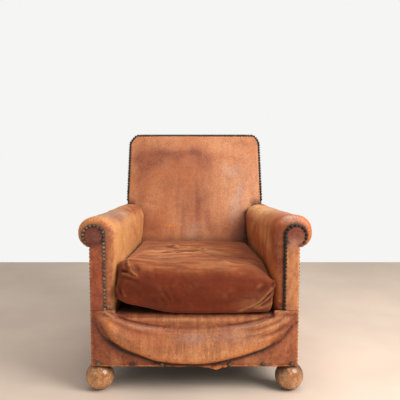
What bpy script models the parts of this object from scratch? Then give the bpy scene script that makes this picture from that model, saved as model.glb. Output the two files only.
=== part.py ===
"""A worn leather club chair on ball feet, with a nailed leather cover and a loose velvet cushion.

The chair faces -Y and stands on Z = 0.  Inside each function y is measured back from the flat front
of the arms, and the empty 'chair' moves the whole model so that its footprint is centred.
Lengths are metres.
"""
import math

import bmesh
import bpy
from mathutils import Vector

# Overall shape -------------------------------------------------------------------------------
HALF_WIDTH = 0.340          # outer side faces at the front
SIDE_TAPER = 0.10           # each side runs inwards towards the back, per metre of depth
SKIRT_BOTTOM = 0.089        # lower edge of the leather
HEIGHT = 0.838
LEATHER = 0.0025
GAP = 0.0003                # between pieces that touch
SOFT_GAP = 0.0005           # between a cover and its stuffing

# Arms ----------------------------------------------------------------------------------------
ARM_DROP = 0.058            # fall of the arm towards the back, per metre of depth
KNEE_Z = 0.45               # the fall is full above this height and fades to none at the skirt
ROLL_X = 0.318
ROLL_Z = 0.530
ROLL_R = 0.060
ROLL_LOW_R = 0.0515         # height of the roll's flatter lower half
ROLL_UNDER = math.radians(60)       # how far the roll turns under on the outside
ROLL_STEPS = 10
UNDER_X = HALF_WIDTH + 0.0005
PAD_FOOT_X = 0.266
PAD_HEAD_X = 0.257
PAD_HEAD_Z = 0.470
PAD_FOOT_Z = 0.252
NOSE = 0.028                # depth of the rounded front rim of the arm
FACING_FOOT_Z = 0.2788
NAIL_X = 0.294              # inner nail line on the arm front
NAIL_ARC_X = 0.327
NAIL_ARC_Z = 0.525
NAIL_ARC_R = 0.034
FACING_OVERLAP = 0.003

# Back ----------------------------------------------------------------------------------------
BACK_FOOT_Y = 0.520         # front of the back at BACK_FOOT_Z
BACK_FOOT_Z = 0.410
BACK_RAKE = 0.333
REAR_FOOT_Y = 0.720         # rear face at the skirt's lower edge
REAR_RAKE = 0.107
BACK_TAPER = 0.002          # the back narrows above the shoulder, per metre of height
SHOULDER_Z = 0.550
CORNER_DROP = 0.032         # cut corners at the top of the back
CORNER_RUN = 0.034
BACK_EDGE = 0.008           # bevelled front edge that carries the nails
BACK_CROWN = 0.016
BACK_LOW_Z = 0.268
BACK_ROWS = (BACK_LOW_Z, 0.36, 0.46, 0.54, 0.57, 0.65, 0.74, HEIGHT - CORNER_DROP, HEIGHT - BACK_EDGE)
BACK_COLUMNS = 6

# Timber --------------------------------------------------------------------------------------
RAIL_LOW = 0.0975
RAIL_TOP = 0.200
RAIL_THICK = 0.025
FRONT_RAIL_THICK = 0.0307
POST_INNER = 0.2925
POST_DEPTH = 0.045
POST_LOW = 0.0888
ARM_RAIL_WIDE = 0.030
ARM_RAIL_LOW = 0.432
ARM_RAIL_TOP = 0.475
UPRIGHT_WIDE = 0.040
UPRIGHT_DEEP = 0.045
UPRIGHT_TOP = 0.800
LEG_REAR_Y = 0.742          # rear edge of the leg's flat end
LEG_DEEP = 0.030
LOWER_RAIL = (0.250, 0.292)
BLOCK_Z = (0.140, 0.190)

# Feet ----------------------------------------------------------------------------------------
FOOT_X = 0.3175
FOOT_Y = 0.0275
FOOT_R = 0.0475
FOOT_SINK = 0.0015          # how much of the ball the flat base and the flat top cut off
DOWEL_R = 0.010
DOWEL_TOP = 0.135

# Suspension and stuffing ---------------------------------------------------------------------
WEBBING = 0.003
WEBBING_TOP = RAIL_LOW - GAP
DUST_COVER = 0.001
SPRING_X = (-0.16, 0.0, 0.16)
SPRING_Y = (0.11, 0.25, 0.39)
SPRING_R = 0.040
SPRING_WAIST = 0.027
SPRING_WIRE = 0.0019
SPRING_TURNS = 4
CANVAS_LOW = 0.2355
CANVAS = 0.0011
DECK_TOP = 0.2655
SEAT_BACK_Y = 0.466
STRAP_X = 0.042             # half widths of the webbing straps
STRAP_Y = 0.035

# Front apron ---------------------------------------------------------------------------------
APRON_Y = -0.0025
APRON_TOP = 0.2780
LIP_X = 0.2595              # the apron rolls over the seat front within this half width
CREASE_Z = 0.215
FOLD_Z = 0.104
BELLY = 0.0215
TEAR = (-0.015, 0.068, 0.115)       # the torn stretch of the lower edge and its lowest point
TEAR_DROP = 0.012
APRON_NAIL_X = (-0.318, -0.207, -0.106, 0.116, 0.225, 0.320)
APRON_NAIL_Z = 0.0965
APRON_NAIL_R = 0.0068
APRON_NAIL_RIM = 0.0012
APRON_NAIL_DOME = 0.0044

# Nail rows -----------------------------------------------------------------------------------
NAIL_STRIP = 0.001
NAIL_RISE = 0.0025
NAIL_WIDE = 0.0085
ARM_PITCH = 0.0129
SIDE_PITCH = 0.0120
BACK_PITCH = 0.0112
REAR_PITCH = 0.0540
NAIL_LIFT = 0.0018          # holds the back nails clear of the bevelled edge

# Cushion -------------------------------------------------------------------------------------
CUSHION_LOW = DECK_TOP + SOFT_GAP
CUSHION_TOP = 0.418
CUSHION_CROWN = 0.014
CUSHION_HALF = 0.2605
CUSHION_FRONT = 0.002
CUSHION_LOOP = 0.72         # place of the cage's inner loops, from the middle to the edge

CENTRE_Y = 0.3896           # middle of the footprint, measured from the arm fronts
SIDES = (("left", -1), ("right", 1))


# Shared lines of the body --------------------------------------------------------------------
def back_front(z):
    """Depth of the raked front plane of the back at height z."""
    return BACK_FOOT_Y + (z - BACK_FOOT_Z) * BACK_RAKE


def back_rear(z):
    """Depth of the rear plane at height z."""
    return REAR_FOOT_Y + (z - SKIRT_BOTTOM) * REAR_RAKE


def side_x(y, z=0.0):
    """Half width of the body's side face."""
    return HALF_WIDTH - SIDE_TAPER * y - BACK_TAPER * max(0.0, z - SHOULDER_Z)


def perimeter_x(y, z):
    """Half width of the back, with its cut top corners."""
    corner = max(0.0, z - (HEIGHT - CORNER_DROP)) / CORNER_DROP
    return side_x(y, min(z, HEIGHT - CORNER_DROP)) - CORNER_RUN * corner


def crown(x, z):
    """How far the stuffed back swells forward of its front plane."""
    middle = (BACK_LOW_Z + HEIGHT) / 2
    rise = (z - middle) / (HEIGHT - middle)
    return BACK_CROWN * max(0.0, 1 - (x / 0.27) ** 2) * max(0.0, 1 - rise ** 4)


def lean(side, x, y, z):
    """Place a point of an arm section: inwards with depth, and down with depth above the skirt."""
    share = min(max((z - SKIRT_BOTTOM) / (KNEE_Z - SKIRT_BOTTOM), 0.0), 1.0)
    return (side * (x - SIDE_TAPER * y), y, z - ARM_DROP * y * share)


def arm_end(z):
    """Depth where a line of the arm that starts at height z meets the rear plane."""
    share = min(max((z - SKIRT_BOTTOM) / (KNEE_Z - SKIRT_BOTTOM), 0.0), 1.0)
    return back_rear(z) / (1 + ARM_DROP * share * REAR_RAKE)


def inside_back_half(z):
    """Half width of the inside back's leather: full above the arms, between the arm rails below."""
    half = perimeter_x(back_front(z), z)
    return half if z > SHOULDER_Z else half - LEATHER - GAP - ARM_RAIL_WIDE - 2 * SOFT_GAP


# Blender helpers -----------------------------------------------------------------------------
def make_collection(name):
    collection = bpy.data.collections.new(name)
    bpy.context.scene.collection.children.link(collection)
    return collection


def make_material(name, colour, roughness, metallic=0.0):
    material = bpy.data.materials.new(name)
    material.use_nodes = True
    shader = material.node_tree.nodes["Principled BSDF"]
    shader.inputs["Base Color"].default_value = (*colour, 1.0)
    shader.inputs["Roughness"].default_value = roughness
    shader.inputs["Metallic"].default_value = metallic
    return material


def add_object(name, data, material, location=(0, 0, 0), rotation=(0, 0, 0)):
    """Add one piece of the chair under the empty that carries it."""
    piece = bpy.data.objects.new(name, data)
    data.materials.append(material)
    PARTS.objects.link(piece)
    piece.parent = CHAIR
    piece.location = location
    piece.rotation_euler = rotation
    return piece


def add_mesh(name, bm, material, smooth=None, **place):
    """Turn a closed or open bmesh into a piece; smooth is the crease angle in degrees."""
    mesh = bpy.data.meshes.new(name)
    bm.to_mesh(mesh)
    bm.free()
    if smooth is not None:
        mesh.shade_smooth()
        mesh.set_sharp_from_angle(angle=math.radians(smooth))
    return add_object(name, mesh, material, **place)


def face_outwards(bm):
    """Turn every face of a closed body outwards after its points were moved."""
    bm.normal_update()
    bmesh.ops.recalc_face_normals(bm, faces=bm.faces)


def add_block(name, x, y, z, material, reshape=None):
    """Add a box between two x, y and z values; reshape moves each corner."""
    bm = bmesh.new()
    bmesh.ops.create_cube(bm, size=1.0)
    for vert in bm.verts:
        corner = [low if c < 0 else high for c, (low, high) in zip(vert.co, (x, y, z))]
        vert.co = reshape(*corner) if reshape else corner
    face_outwards(bm)
    return add_mesh(name, bm, material)


def add_prism(name, outline, levels, place, material, smooth=None):
    """Add a closed prism: an outline of (a, b) points repeated at each level, placed by place(a, b, c)."""
    bm = bmesh.new()
    corner = bm.verts.layers.int.new("corner")
    face = bm.faces.new([bm.verts.new(place(a, b, levels[0])) for a, b in outline])
    for number, vert in enumerate(face.verts):
        vert[corner] = number
    for level in levels[1:]:
        base = face
        result = bmesh.ops.extrude_face_region(bm, geom=[base])
        face = next(item for item in result["geom"] if isinstance(item, bmesh.types.BMFace))
        for vert in face.verts:
            vert.co = place(*outline[vert[corner]], level)
        if level != levels[1]:
            bmesh.ops.delete(bm, geom=[base], context='FACES_ONLY')
    face_outwards(bm)
    return add_mesh(name, bm, material, smooth)


def add_sheet(name, rows, material, thickness=LEATHER, flip=False, cap_last=False, smooth=None):
    """Add a sheet lofted through rows of points and thickened away from its outer face."""
    bm = bmesh.new()
    grid = [[bm.verts.new(point) for point in row] for row in rows]
    for near, far in zip(grid, grid[1:]):
        for i in range(len(near) - 1):
            bm.faces.new((near[i], near[i + 1], far[i + 1], far[i]))
    if cap_last:
        bm.faces.new(grid[-1])
    if flip:
        bmesh.ops.reverse_faces(bm, faces=bm.faces)
    piece = add_mesh(name, bm, material, smooth)
    solid = piece.modifiers.new("thickness", 'SOLIDIFY')
    solid.thickness = thickness
    solid.offset = -1.0
    solid.use_even_offset = True
    return piece


def add_turned(name, profile, material, steps, location, rotation=(0, 0, 0)):
    """Turn a profile of (radius, height) points about the object's own z axis."""
    bm = bmesh.new()
    verts = [bm.verts.new((radius, 0.0, height)) for radius, height in profile]
    for near, far in zip(verts, verts[1:]):
        bm.edges.new((near, far))
    piece = add_mesh(name, bm, material, location=location, rotation=rotation)
    screw = piece.modifiers.new("turn", 'SCREW')
    screw.steps = steps
    screw.render_steps = steps
    screw.use_merge_vertices = True
    screw.merge_threshold = 0.00002
    screw.use_smooth_shade = True
    return piece


def cut(piece, cutter):
    boolean = piece.modifiers.new("cut", 'BOOLEAN')
    boolean.operation = 'DIFFERENCE'
    boolean.solver = 'EXACT'
    boolean.object = cutter


def add_cutter(name, bm, location=(0, 0, 0)):
    """Add a closed guide body that only shapes other pieces."""
    face_outwards(bm)
    mesh = bpy.data.meshes.new(name)
    bm.to_mesh(mesh)
    bm.free()
    cutter = bpy.data.objects.new(name, mesh)
    CUTTERS.objects.link(cutter)
    cutter.parent = CHAIR
    cutter.location = location
    cutter.hide_render = True
    cutter.display_type = 'WIRE'
    return cutter


def arc(centre, radius, start, end, steps):
    """Points of an arc in a section plane, from angle start to angle end."""
    angles = (start + (end - start) * i / steps for i in range(steps + 1))
    return [(centre[0] + radius * math.cos(a), centre[1] + radius * math.sin(a)) for a in angles]


# Arms ----------------------------------------------------------------------------------------
def arm_outline(inset=0.0, foot_z=PAD_FOOT_Z):
    """Leather line of an arm's section: up the inner pad, over the roll, and under it."""
    drop = ROLL_LOW_R * math.sin(ROLL_UNDER) - inset
    under = math.asin(drop / (ROLL_LOW_R - inset))
    points = [(PAD_FOOT_X + inset, foot_z), (PAD_HEAD_X + inset, PAD_HEAD_Z)]
    for across, up in arc((0.0, 0.0), 1.0, math.pi, -under, ROLL_STEPS):
        tall = ROLL_R if up > 0 else ROLL_LOW_R
        points.append((ROLL_X + (ROLL_R - inset) * across, ROLL_Z + (tall - inset) * up))
    points.append((UNDER_X, ROLL_Z - drop))
    return points


def facing_line():
    """Line where the arm cover ends on the arm's front, point for point with arm_outline."""
    points = [(NAIL_X, FACING_FOOT_Z), (NAIL_X, PAD_HEAD_Z)]
    points += arc((NAIL_ARC_X, NAIL_ARC_Z), NAIL_ARC_R, math.pi, -ROLL_UNDER, ROLL_STEPS)
    points.append((UNDER_X, 0.494))
    return points


def add_arm_cover(name, side, material):
    """Inner arm, roll and rounded front rim in one hide, closed behind the roll."""
    rows = []
    for angle in (0, 45, 90):
        turn = math.radians(angle)
        depth = NOSE * (1 - math.cos(turn))
        rim = zip(facing_line(), arm_outline(foot_z=FACING_FOOT_Z))
        rows.append([lean(side, inner[0] + (outer[0] - inner[0]) * math.sin(turn), depth,
                          inner[1] + (outer[1] - inner[1]) * math.sin(turn)) for inner, outer in rim])
    for depth in (NOSE + 0.008, 0.28, 0.56):
        rows.append([lean(side, x, depth, z) for x, z in arm_outline()])
    rows.append([lean(side, x, arm_end(z), z) for x, z in arm_outline()])
    cover = add_sheet(name, rows, material, flip=side < 0, cap_last=True, smooth=40)
    cut(cover, BACK_SPACE)


def add_arm_stuffing(name, side, material):
    """Pad on the inner side of the arm and round the roll, over the arm rail."""
    inset = LEATHER + SOFT_GAP
    outline = arm_outline(inset)
    outline.append((HALF_WIDTH - LEATHER - SOFT_GAP, outline[-1][1]))
    outline.append((HALF_WIDTH - LEATHER - SOFT_GAP, ARM_RAIL_TOP + GAP))
    inner_wall = HALF_WIDTH - LEATHER - 2 * GAP - ARM_RAIL_WIDE
    outline += [(inner_wall - GAP, ARM_RAIL_TOP + GAP), (inner_wall - GAP, PAD_FOOT_Z)]
    levels = (POST_DEPTH + LEATHER + 3 * GAP, 0.28, 0.56, back_rear(ROLL_Z) - 0.012)
    stuffing = add_prism(name, outline, levels, lambda x, z, y: lean(side, x, y, z), material, smooth=40)
    cut(stuffing, BACK_SPACE)


def add_arm_facing(name, side, material):
    """Flat leather panel on the front of an arm, over the rim of the arm cover."""
    radius = NAIL_ARC_R + FACING_OVERLAP
    edge = HALF_WIDTH - GAP
    under = -math.asin((NAIL_ARC_Z - 0.494) / radius)
    outline = [(NAIL_X - FACING_OVERLAP, FACING_FOOT_Z), (edge, FACING_FOOT_Z), (edge, 0.494)]
    outline += arc((NAIL_ARC_X, NAIL_ARC_Z), radius, under, math.pi, ROLL_STEPS)
    add_prism(name, outline, (-GAP - LEATHER, -GAP), lambda x, z, y: (side * x, y, z), material)


def add_outside_arm(name, side, material):
    """Leather on the outer side, from the front edge to the rear face and up to the roll."""
    top = ROLL_Z - ROLL_LOW_R * math.sin(ROLL_UNDER) - 0.0007
    heights = (SKIRT_BOTTOM, KNEE_Z, top)
    bm = bmesh.new()
    bmesh.ops.create_grid(bm, x_segments=4, y_segments=2, size=0.5)
    for vert in bm.verts:
        height = heights[round((vert.co.y + 0.5) * 2)]
        depth = GAP + (vert.co.x + 0.5) * (arm_end(height) - LEATHER - 2 * GAP)
        vert.co = lean(side, HALF_WIDTH, depth, height)
    face_outwards(bm)
    if sum(face.normal.x for face in bm.faces) * side < 0:
        bmesh.ops.reverse_faces(bm, faces=bm.faces)
    panel = add_mesh(name, bm, material)
    solid = panel.modifiers.new("thickness", 'SOLIDIFY')
    solid.thickness = LEATHER
    solid.offset = -1.0


# Back ----------------------------------------------------------------------------------------
def make_back_space():
    """Space that the back takes out of the arms, just clear of the back's own cover."""
    low, high = 0.15, 0.70
    reach = 0.45
    bm = bmesh.new()
    swell = crown(0.2, 0.5) + SOFT_GAP
    levels = (low, SHOULDER_Z, high)
    rings = []
    for z in levels:
        near = back_front(z) - swell
        far = near + reach
        rings.append([bm.verts.new((side * (side_x(y, z) + SOFT_GAP), y, z))
                      for side, y in ((-1, near), (1, near), (1, far), (-1, far))])
    for below, above in zip(rings, rings[1:]):
        for i in range(4):
            j = (i + 1) % 4
            bm.faces.new((below[i], below[j], above[j], above[i]))
    bm.faces.new(rings[0])
    bm.faces.new(rings[-1])
    return add_cutter("back_space", bm)


def add_inside_back(name, material):
    """Crowned front leather of the back, turned over the bevelled edge on three sides."""
    shares = [2 * i / BACK_COLUMNS - 1 for i in range(BACK_COLUMNS + 1)]
    rows = []
    for z in BACK_ROWS:
        y = back_front(z)
        outer = inside_back_half(z)
        inner = outer - BACK_EDGE
        row = [(-outer, y + BACK_EDGE, z)]
        row += [(inner * s, y - crown(inner * s, z), z) for s in shares]
        row.append((outer, y + BACK_EDGE, z))
        rows.append(row)
    y = back_front(HEIGHT) + BACK_EDGE
    outer = perimeter_x(y, HEIGHT)
    top = [((outer - 0.002) * s, y, HEIGHT) for s in shares]
    rows.append([(-outer, y, HEIGHT)] + top + [(outer, y, HEIGHT)])
    add_sheet(name, rows, material, smooth=35)


def add_back_border(name, material):
    """Leather band round the sides and top of the back, between the front edge and the rear face."""
    low = 0.464
    corner = HEIGHT - CORNER_DROP
    side_heights = (low, SHOULDER_Z, 0.68, corner, HEIGHT)
    front, rear = [], []
    for side, heights in ((-1, side_heights), (1, side_heights[::-1])):
        for z in heights:
            near = back_front(z) + BACK_EDGE + LEATHER
            far = back_rear(z) - LEATHER - GAP
            front.append((side * perimeter_x(near, z), near, z))
            rear.append((side * perimeter_x(far, z), far, z))
    add_sheet(name, (front, rear), material)


def rear_outline(inset=0.0):
    """Outline of the rear face, from its lower left corner round to its lower right one."""
    corner = HEIGHT - CORNER_DROP - inset * 0.4
    heights = (SKIRT_BOTTOM + inset * 0.7, SHOULDER_Z, corner)
    half = [(perimeter_x(back_rear(z), z) - inset, z) for z in heights]
    half.append((perimeter_x(back_rear(HEIGHT), HEIGHT) - inset * 0.4, HEIGHT - inset))
    return [(-x, z) for x, z in half] + [(x, z) for x, z in reversed(half)]


def add_outside_back(name, material):
    add_prism(name, rear_outline(), (-LEATHER, 0.0), lambda x, z, y: (x, back_rear(z) + y, z), material)


def add_back_stuffing(name, material):
    """Stuffing between the back webbing and the inside back, notched for the arm rails."""
    webbing_face = LEATHER + 2 * GAP + UPRIGHT_DEEP + WEBBING + 2 * GAP
    skin = LEATHER + SOFT_GAP
    bm = bmesh.new()
    bmesh.ops.create_grid(bm, x_segments=BACK_COLUMNS, y_segments=len(BACK_ROWS) - 1, size=1.0)
    extruded = bmesh.ops.extrude_face_region(bm, geom=bm.faces[:])
    rear = {item for item in extruded["geom"] if isinstance(item, bmesh.types.BMVert)}
    for vert in bm.verts:
        z = BACK_ROWS[round((vert.co.y + 1) / 2 * (len(BACK_ROWS) - 1))]
        far = back_rear(z) - webbing_face
        half = inside_back_half(z) - BACK_EDGE
        near = back_front(z) - crown(vert.co.x * half, z) + skin * 1.3
        half = min(half - skin, perimeter_x(far, z) - 1.6 * skin)
        vert.co = (vert.co.x * half, far if vert in rear else near, min(z, HEIGHT - BACK_EDGE - skin))
    face_outwards(bm)
    stuffing = add_mesh(name, bm, material, smooth=35)
    for _, side in SIDES:
        rail = bmesh.new()
        bmesh.ops.create_cube(rail, size=1.0)
        clear = SOFT_GAP
        spans = ((HALF_WIDTH - LEATHER - GAP - ARM_RAIL_WIDE - clear, HALF_WIDTH + 0.02), (0.40, 0.90),
                 (ARM_RAIL_LOW - clear, ARM_RAIL_TOP + clear))
        for vert in rail.verts:
            x, y, z = (low if c < 0 else high for c, (low, high) in zip(vert.co, spans))
            vert.co = lean(side, x, y, z)
        cut(stuffing, add_cutter("rail_notch", rail))


# Timber frame --------------------------------------------------------------------------------
def add_front_post(name, side, material):
    """Front post with the roll-shaped head of the arm, bored from below for the foot's dowel."""
    edge = HALF_WIDTH - LEATHER - GAP
    outline = [(POST_INNER, POST_LOW), (edge, POST_LOW), (edge, 0.4985)]
    radius = NAIL_ARC_R - 0.001
    outline += arc((NAIL_ARC_X, NAIL_ARC_Z), radius, math.radians(-42), math.pi, 9)
    outline[-1] = (NAIL_ARC_X - radius, NAIL_ARC_Z)
    outline.append((POST_INNER + 0.002, 0.50))
    front = LEATHER + 2 * GAP
    post = add_prism(name, outline, (front, POST_DEPTH + LEATHER),
                     lambda x, z, y: (side * (x - SIDE_TAPER * y), y, z), material)
    bore = bmesh.new()
    radius = DOWEL_R + 2 * GAP
    bmesh.ops.create_cone(bore, cap_ends=True, segments=16, radius1=radius, radius2=radius,
                          depth=2 * (DOWEL_TOP + GAP - POST_LOW))
    cut(post, add_cutter("dowel_bore", bore, location=(side * FOOT_X, FOOT_Y, POST_LOW)))


def add_upright(name, side, material):
    """Back upright and rear leg in one piece of timber, raked with the rear face."""
    section = [(0, 0), (1, 0), (1, 1), (0, 1)]

    def place(across, ahead, z):
        y = back_rear(z) - LEATHER - 2 * GAP - ahead * UPRIGHT_DEEP
        if z == 0.0:
            y = LEG_REAR_Y - ahead * LEG_DEEP
        x = side_x(min(y, back_rear(z)), z) - LEATHER - GAP - across * UPRIGHT_WIDE
        return (side * x, y, z)
    add_prism(name, section, (0.0, POST_LOW, SHOULDER_Z, UPRIGHT_TOP), place, material)


def add_side_rail(name, side, material):
    end = back_rear(RAIL_LOW) - LEATHER - 3 * GAP - UPRIGHT_DEEP
    outer = HALF_WIDTH - LEATHER - GAP
    add_block(name, (outer - RAIL_THICK, outer), (POST_DEPTH + LEATHER + GAP, end), (RAIL_LOW, RAIL_TOP),
              material, lambda x, y, z: (side * (x - SIDE_TAPER * y), y, z))


def add_arm_rail(name, side, material):
    outer = HALF_WIDTH - LEATHER - GAP
    end = back_rear(ARM_RAIL_LOW - 0.04) - LEATHER - 3 * GAP - UPRIGHT_DEEP
    add_block(name, (outer - ARM_RAIL_WIDE, outer), (POST_DEPTH + LEATHER + GAP, end),
              (ARM_RAIL_LOW, ARM_RAIL_TOP), material, lambda x, y, z: lean(side, x, y, z))


def add_cross_rails(material):
    front = (GAP, GAP + FRONT_RAIL_THICK)
    add_block("front_rail", (-1, 1), front, (RAIL_LOW, RAIL_TOP), material,
              lambda x, y, z: (x * (POST_INNER - SIDE_TAPER * y - GAP), y, z))

    def raked(thick):
        rear = LEATHER + 2 * GAP
        inner = LEATHER + 2 * GAP + UPRIGHT_WIDE

        def place(x, y, z):
            depth = back_rear(z) - rear - y * thick
            return (x * (side_x(back_rear(z) - rear, z) - inner), depth, z)
        return place
    add_block("rear_rail", (-1, 1), (0, 1), (RAIL_LOW, RAIL_TOP), material, raked(RAIL_THICK))
    add_block("back_lower_rail", (-1, 1), (0, 1), LOWER_RAIL, material, raked(UPRIGHT_DEEP))
    low = UPRIGHT_TOP + GAP
    high = HEIGHT - LEATHER - GAP

    def top_rail(x, y, z):
        depth = back_rear(z) - LEATHER - 2 * GAP - y * UPRIGHT_DEEP
        slack = 0.008 if z > low else 0.012
        return (x * (perimeter_x(back_rear(z), z) - slack), depth, z)
    add_block("back_top_rail", (-1, 1), (0, 1), (low, high), material, top_rail)


def add_corner_block(name, side, rear, material):
    """Glue block in a corner of the seat frame, cut round the post or the upright."""
    leg = 0.055
    if rear:
        rail_y = back_rear(BLOCK_Z[0]) - LEATHER - 3 * GAP - RAIL_THICK
        post_y = back_rear(RAIL_LOW) - LEATHER - 4 * GAP - UPRIGHT_DEEP
        post_x = side_x(post_y) - LEATHER - 3 * GAP - UPRIGHT_WIDE - 0.0025
        direction = -1
    else:
        rail_y = FRONT_RAIL_THICK + 2 * GAP
        post_y = POST_DEPTH + LEATHER + GAP
        post_x = POST_INNER - SIDE_TAPER * post_y - GAP
        direction = 1
    far_y = post_y + direction * leg

    def rail_x(y):
        return HALF_WIDTH - SIDE_TAPER * y - LEATHER - 2 * GAP - RAIL_THICK
    outline = [(post_x - leg, rail_y), (post_x, rail_y), (post_x, post_y), (rail_x(post_y), post_y),
               (rail_x(far_y), far_y)]
    add_prism(name, outline, BLOCK_Z, lambda x, y, z: (side * x, y, z), material)


def add_foot(name, side, material):
    """Turned ball foot, flat under the ball and at the frame, with its dowel."""
    centre = FOOT_R - FOOT_SINK
    top = POST_LOW - GAP
    start = math.asin((top - centre) / FOOT_R)
    end = math.asin(-centre / FOOT_R)
    ball = arc((0.0, centre), FOOT_R, start, end, 8)
    profile = [(0.0, DOWEL_TOP), (DOWEL_R, DOWEL_TOP), (DOWEL_R, top)] + ball + [(0.0, 0.0)]
    add_turned(name, profile, material, 12, (side * FOOT_X, FOOT_Y, 0.0))


# Suspension ----------------------------------------------------------------------------------
def strap_lines(centres, half, ends):
    """Grid lines for straps: the two ends, and both edges of each strap."""
    lines = [ends[0]]
    for centre in centres:
        lines += [centre - half, centre + half]
    return lines + [ends[1]]


def add_webbing(name, across, along, place, thickness, material):
    """Woven straps in one mat: the cells that no strap covers are left open."""
    bm = bmesh.new()
    bmesh.ops.create_grid(bm, x_segments=len(across) - 1, y_segments=len(along) - 1, size=0.5)

    def cell(value, lines):
        return round((value + 0.5) * 2 * (len(lines) - 1)) // 2
    gaps = []
    for face in bm.faces:
        centre = face.calc_center_median()
        if cell(centre.x, across) % 2 == 0 and cell(centre.y, along) % 2 == 0:
            gaps.append(face)
    bmesh.ops.delete(bm, geom=gaps, context='FACES')
    for vert in bm.verts:
        u = across[round((vert.co.x + 0.5) * (len(across) - 1))]
        v = along[round((vert.co.y + 0.5) * (len(along) - 1))]
        vert.co = place(u, v)
    mat = add_mesh(name, bm, material)
    solid = mat.modifiers.new("thickness", 'SOLIDIFY')
    solid.thickness = thickness
    solid.offset = -1.0


def add_seat_webbing(material):
    end = back_rear(RAIL_LOW) - 0.008
    across = strap_lines(SPRING_X, STRAP_X, (-1.0, 1.0))
    along = strap_lines(SPRING_Y + (0.51, 0.63), STRAP_Y, (0.006, end))

    def place(x, y):
        half = side_x(y) - 0.008
        reach = half if abs(x) == 1.0 else abs(x) * (1 - y * SIDE_TAPER / HALF_WIDTH)
        return (math.copysign(reach, x), y, WEBBING_TOP)
    add_webbing("seat_webbing", across, along, place, WEBBING, material)


def add_back_webbing(material):
    across = strap_lines((-0.13, 0.0, 0.13), 0.035, (-1.0, 1.0))
    along = strap_lines((0.36, 0.47, 0.58, 0.69), 0.028, (0.262, 0.815))

    def place(x, z):
        y = back_rear(z) - LEATHER - 3 * GAP - UPRIGHT_DEEP - WEBBING
        half = side_x(y, z) - LEATHER - ARM_RAIL_WIDE - 0.003
        return (math.copysign(half, x) if abs(x) == 1.0 else x, y, z)
    add_webbing("back_webbing", across, along, place, WEBBING, material)


def add_springs(material):
    """Nine hourglass coil springs between the seat webbing and the canvas."""
    low = WEBBING_TOP + GAP + SPRING_WIRE
    high = CANVAS_LOW - GAP - SPRING_WIRE
    per_turn = 5
    count = SPRING_TURNS * per_turn
    places = [(x, y) for y in SPRING_Y for x in SPRING_X]
    for number, (x, y) in enumerate(places, 1):
        curve = bpy.data.curves.new(f"seat_spring_{number}", 'CURVE')
        curve.dimensions = '3D'
        curve.bevel_depth = SPRING_WIRE
        curve.bevel_resolution = 1
        curve.use_fill_caps = True
        spline = curve.splines.new('POLY')
        spline.points.add(count)
        for i, point in enumerate(spline.points):
            share = i / count
            radius = SPRING_WAIST + (SPRING_R - SPRING_WAIST) * abs(2 * share - 1)
            angle = 2 * math.pi * i / per_turn
            point.co = (radius * math.cos(angle), radius * math.sin(angle), low + (high - low) * share, 1.0)
        add_object(curve.name, curve, material, location=(x * (1 - y * SIDE_TAPER / HALF_WIDTH), y, 0.0))


def add_seat_layers(canvas, stuffing, leather):
    """Canvas over the springs, the stuffing on it, and the leather deck under the cushion."""
    def tapered(edge):
        return lambda x, y, z: (x * (PAD_FOOT_X - edge - SIDE_TAPER * y), y, z)
    low = CANVAS_LOW
    add_block("seat_canvas", (-1, 1), (0.0115, SEAT_BACK_Y), (low, low + CANVAS), canvas, tapered(0.006))
    low = CANVAS_LOW + CANVAS + GAP
    high = DECK_TOP - LEATHER - 2 * SOFT_GAP
    add_block("seat_stuffing", (-1, 1), (0.0200, SEAT_BACK_Y - 0.002), (low, high), stuffing, tapered(0.006))
    deck = (DECK_TOP - LEATHER, DECK_TOP)
    add_block("seat_deck", (-1, 1), (0.0290, SEAT_BACK_Y), deck, leather, tapered(0.004))


def add_dust_cover(material):
    """Black lining under the frame, cut out at the posts and the rear legs."""
    top = WEBBING_TOP - WEBBING - GAP
    end = back_rear(SKIRT_BOTTOM) - 0.006
    leg = back_rear(SKIRT_BOTTOM) - UPRIGHT_DEEP - 0.006
    front = POST_DEPTH + 0.006
    half = [(POST_INNER - 0.004, 0.004), (POST_INNER - 0.009, front), (side_x(front) - 0.004, front),
            (side_x(leg) - 0.004, leg), (side_x(leg) - UPRIGHT_WIDE - 0.010, leg),
            (side_x(end) - UPRIGHT_WIDE - 0.008, end)]
    outline = half + [(-x, y) for x, y in reversed(half)]
    add_prism("dust_cover", outline, (top - DUST_COVER, top), lambda x, y, z: (x, y, z), material)


# Front apron ---------------------------------------------------------------------------------
def apron_edge(x):
    """Height of the apron's lower edge, with the torn flap right of the middle."""
    start, low, end = TEAR
    if start < x <= low:
        return SKIRT_BOTTOM - TEAR_DROP * (x - start) / (low - start)
    if low < x < end:
        return SKIRT_BOTTOM - TEAR_DROP * (end - x) / (end - low)
    return SKIRT_BOTTOM


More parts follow.
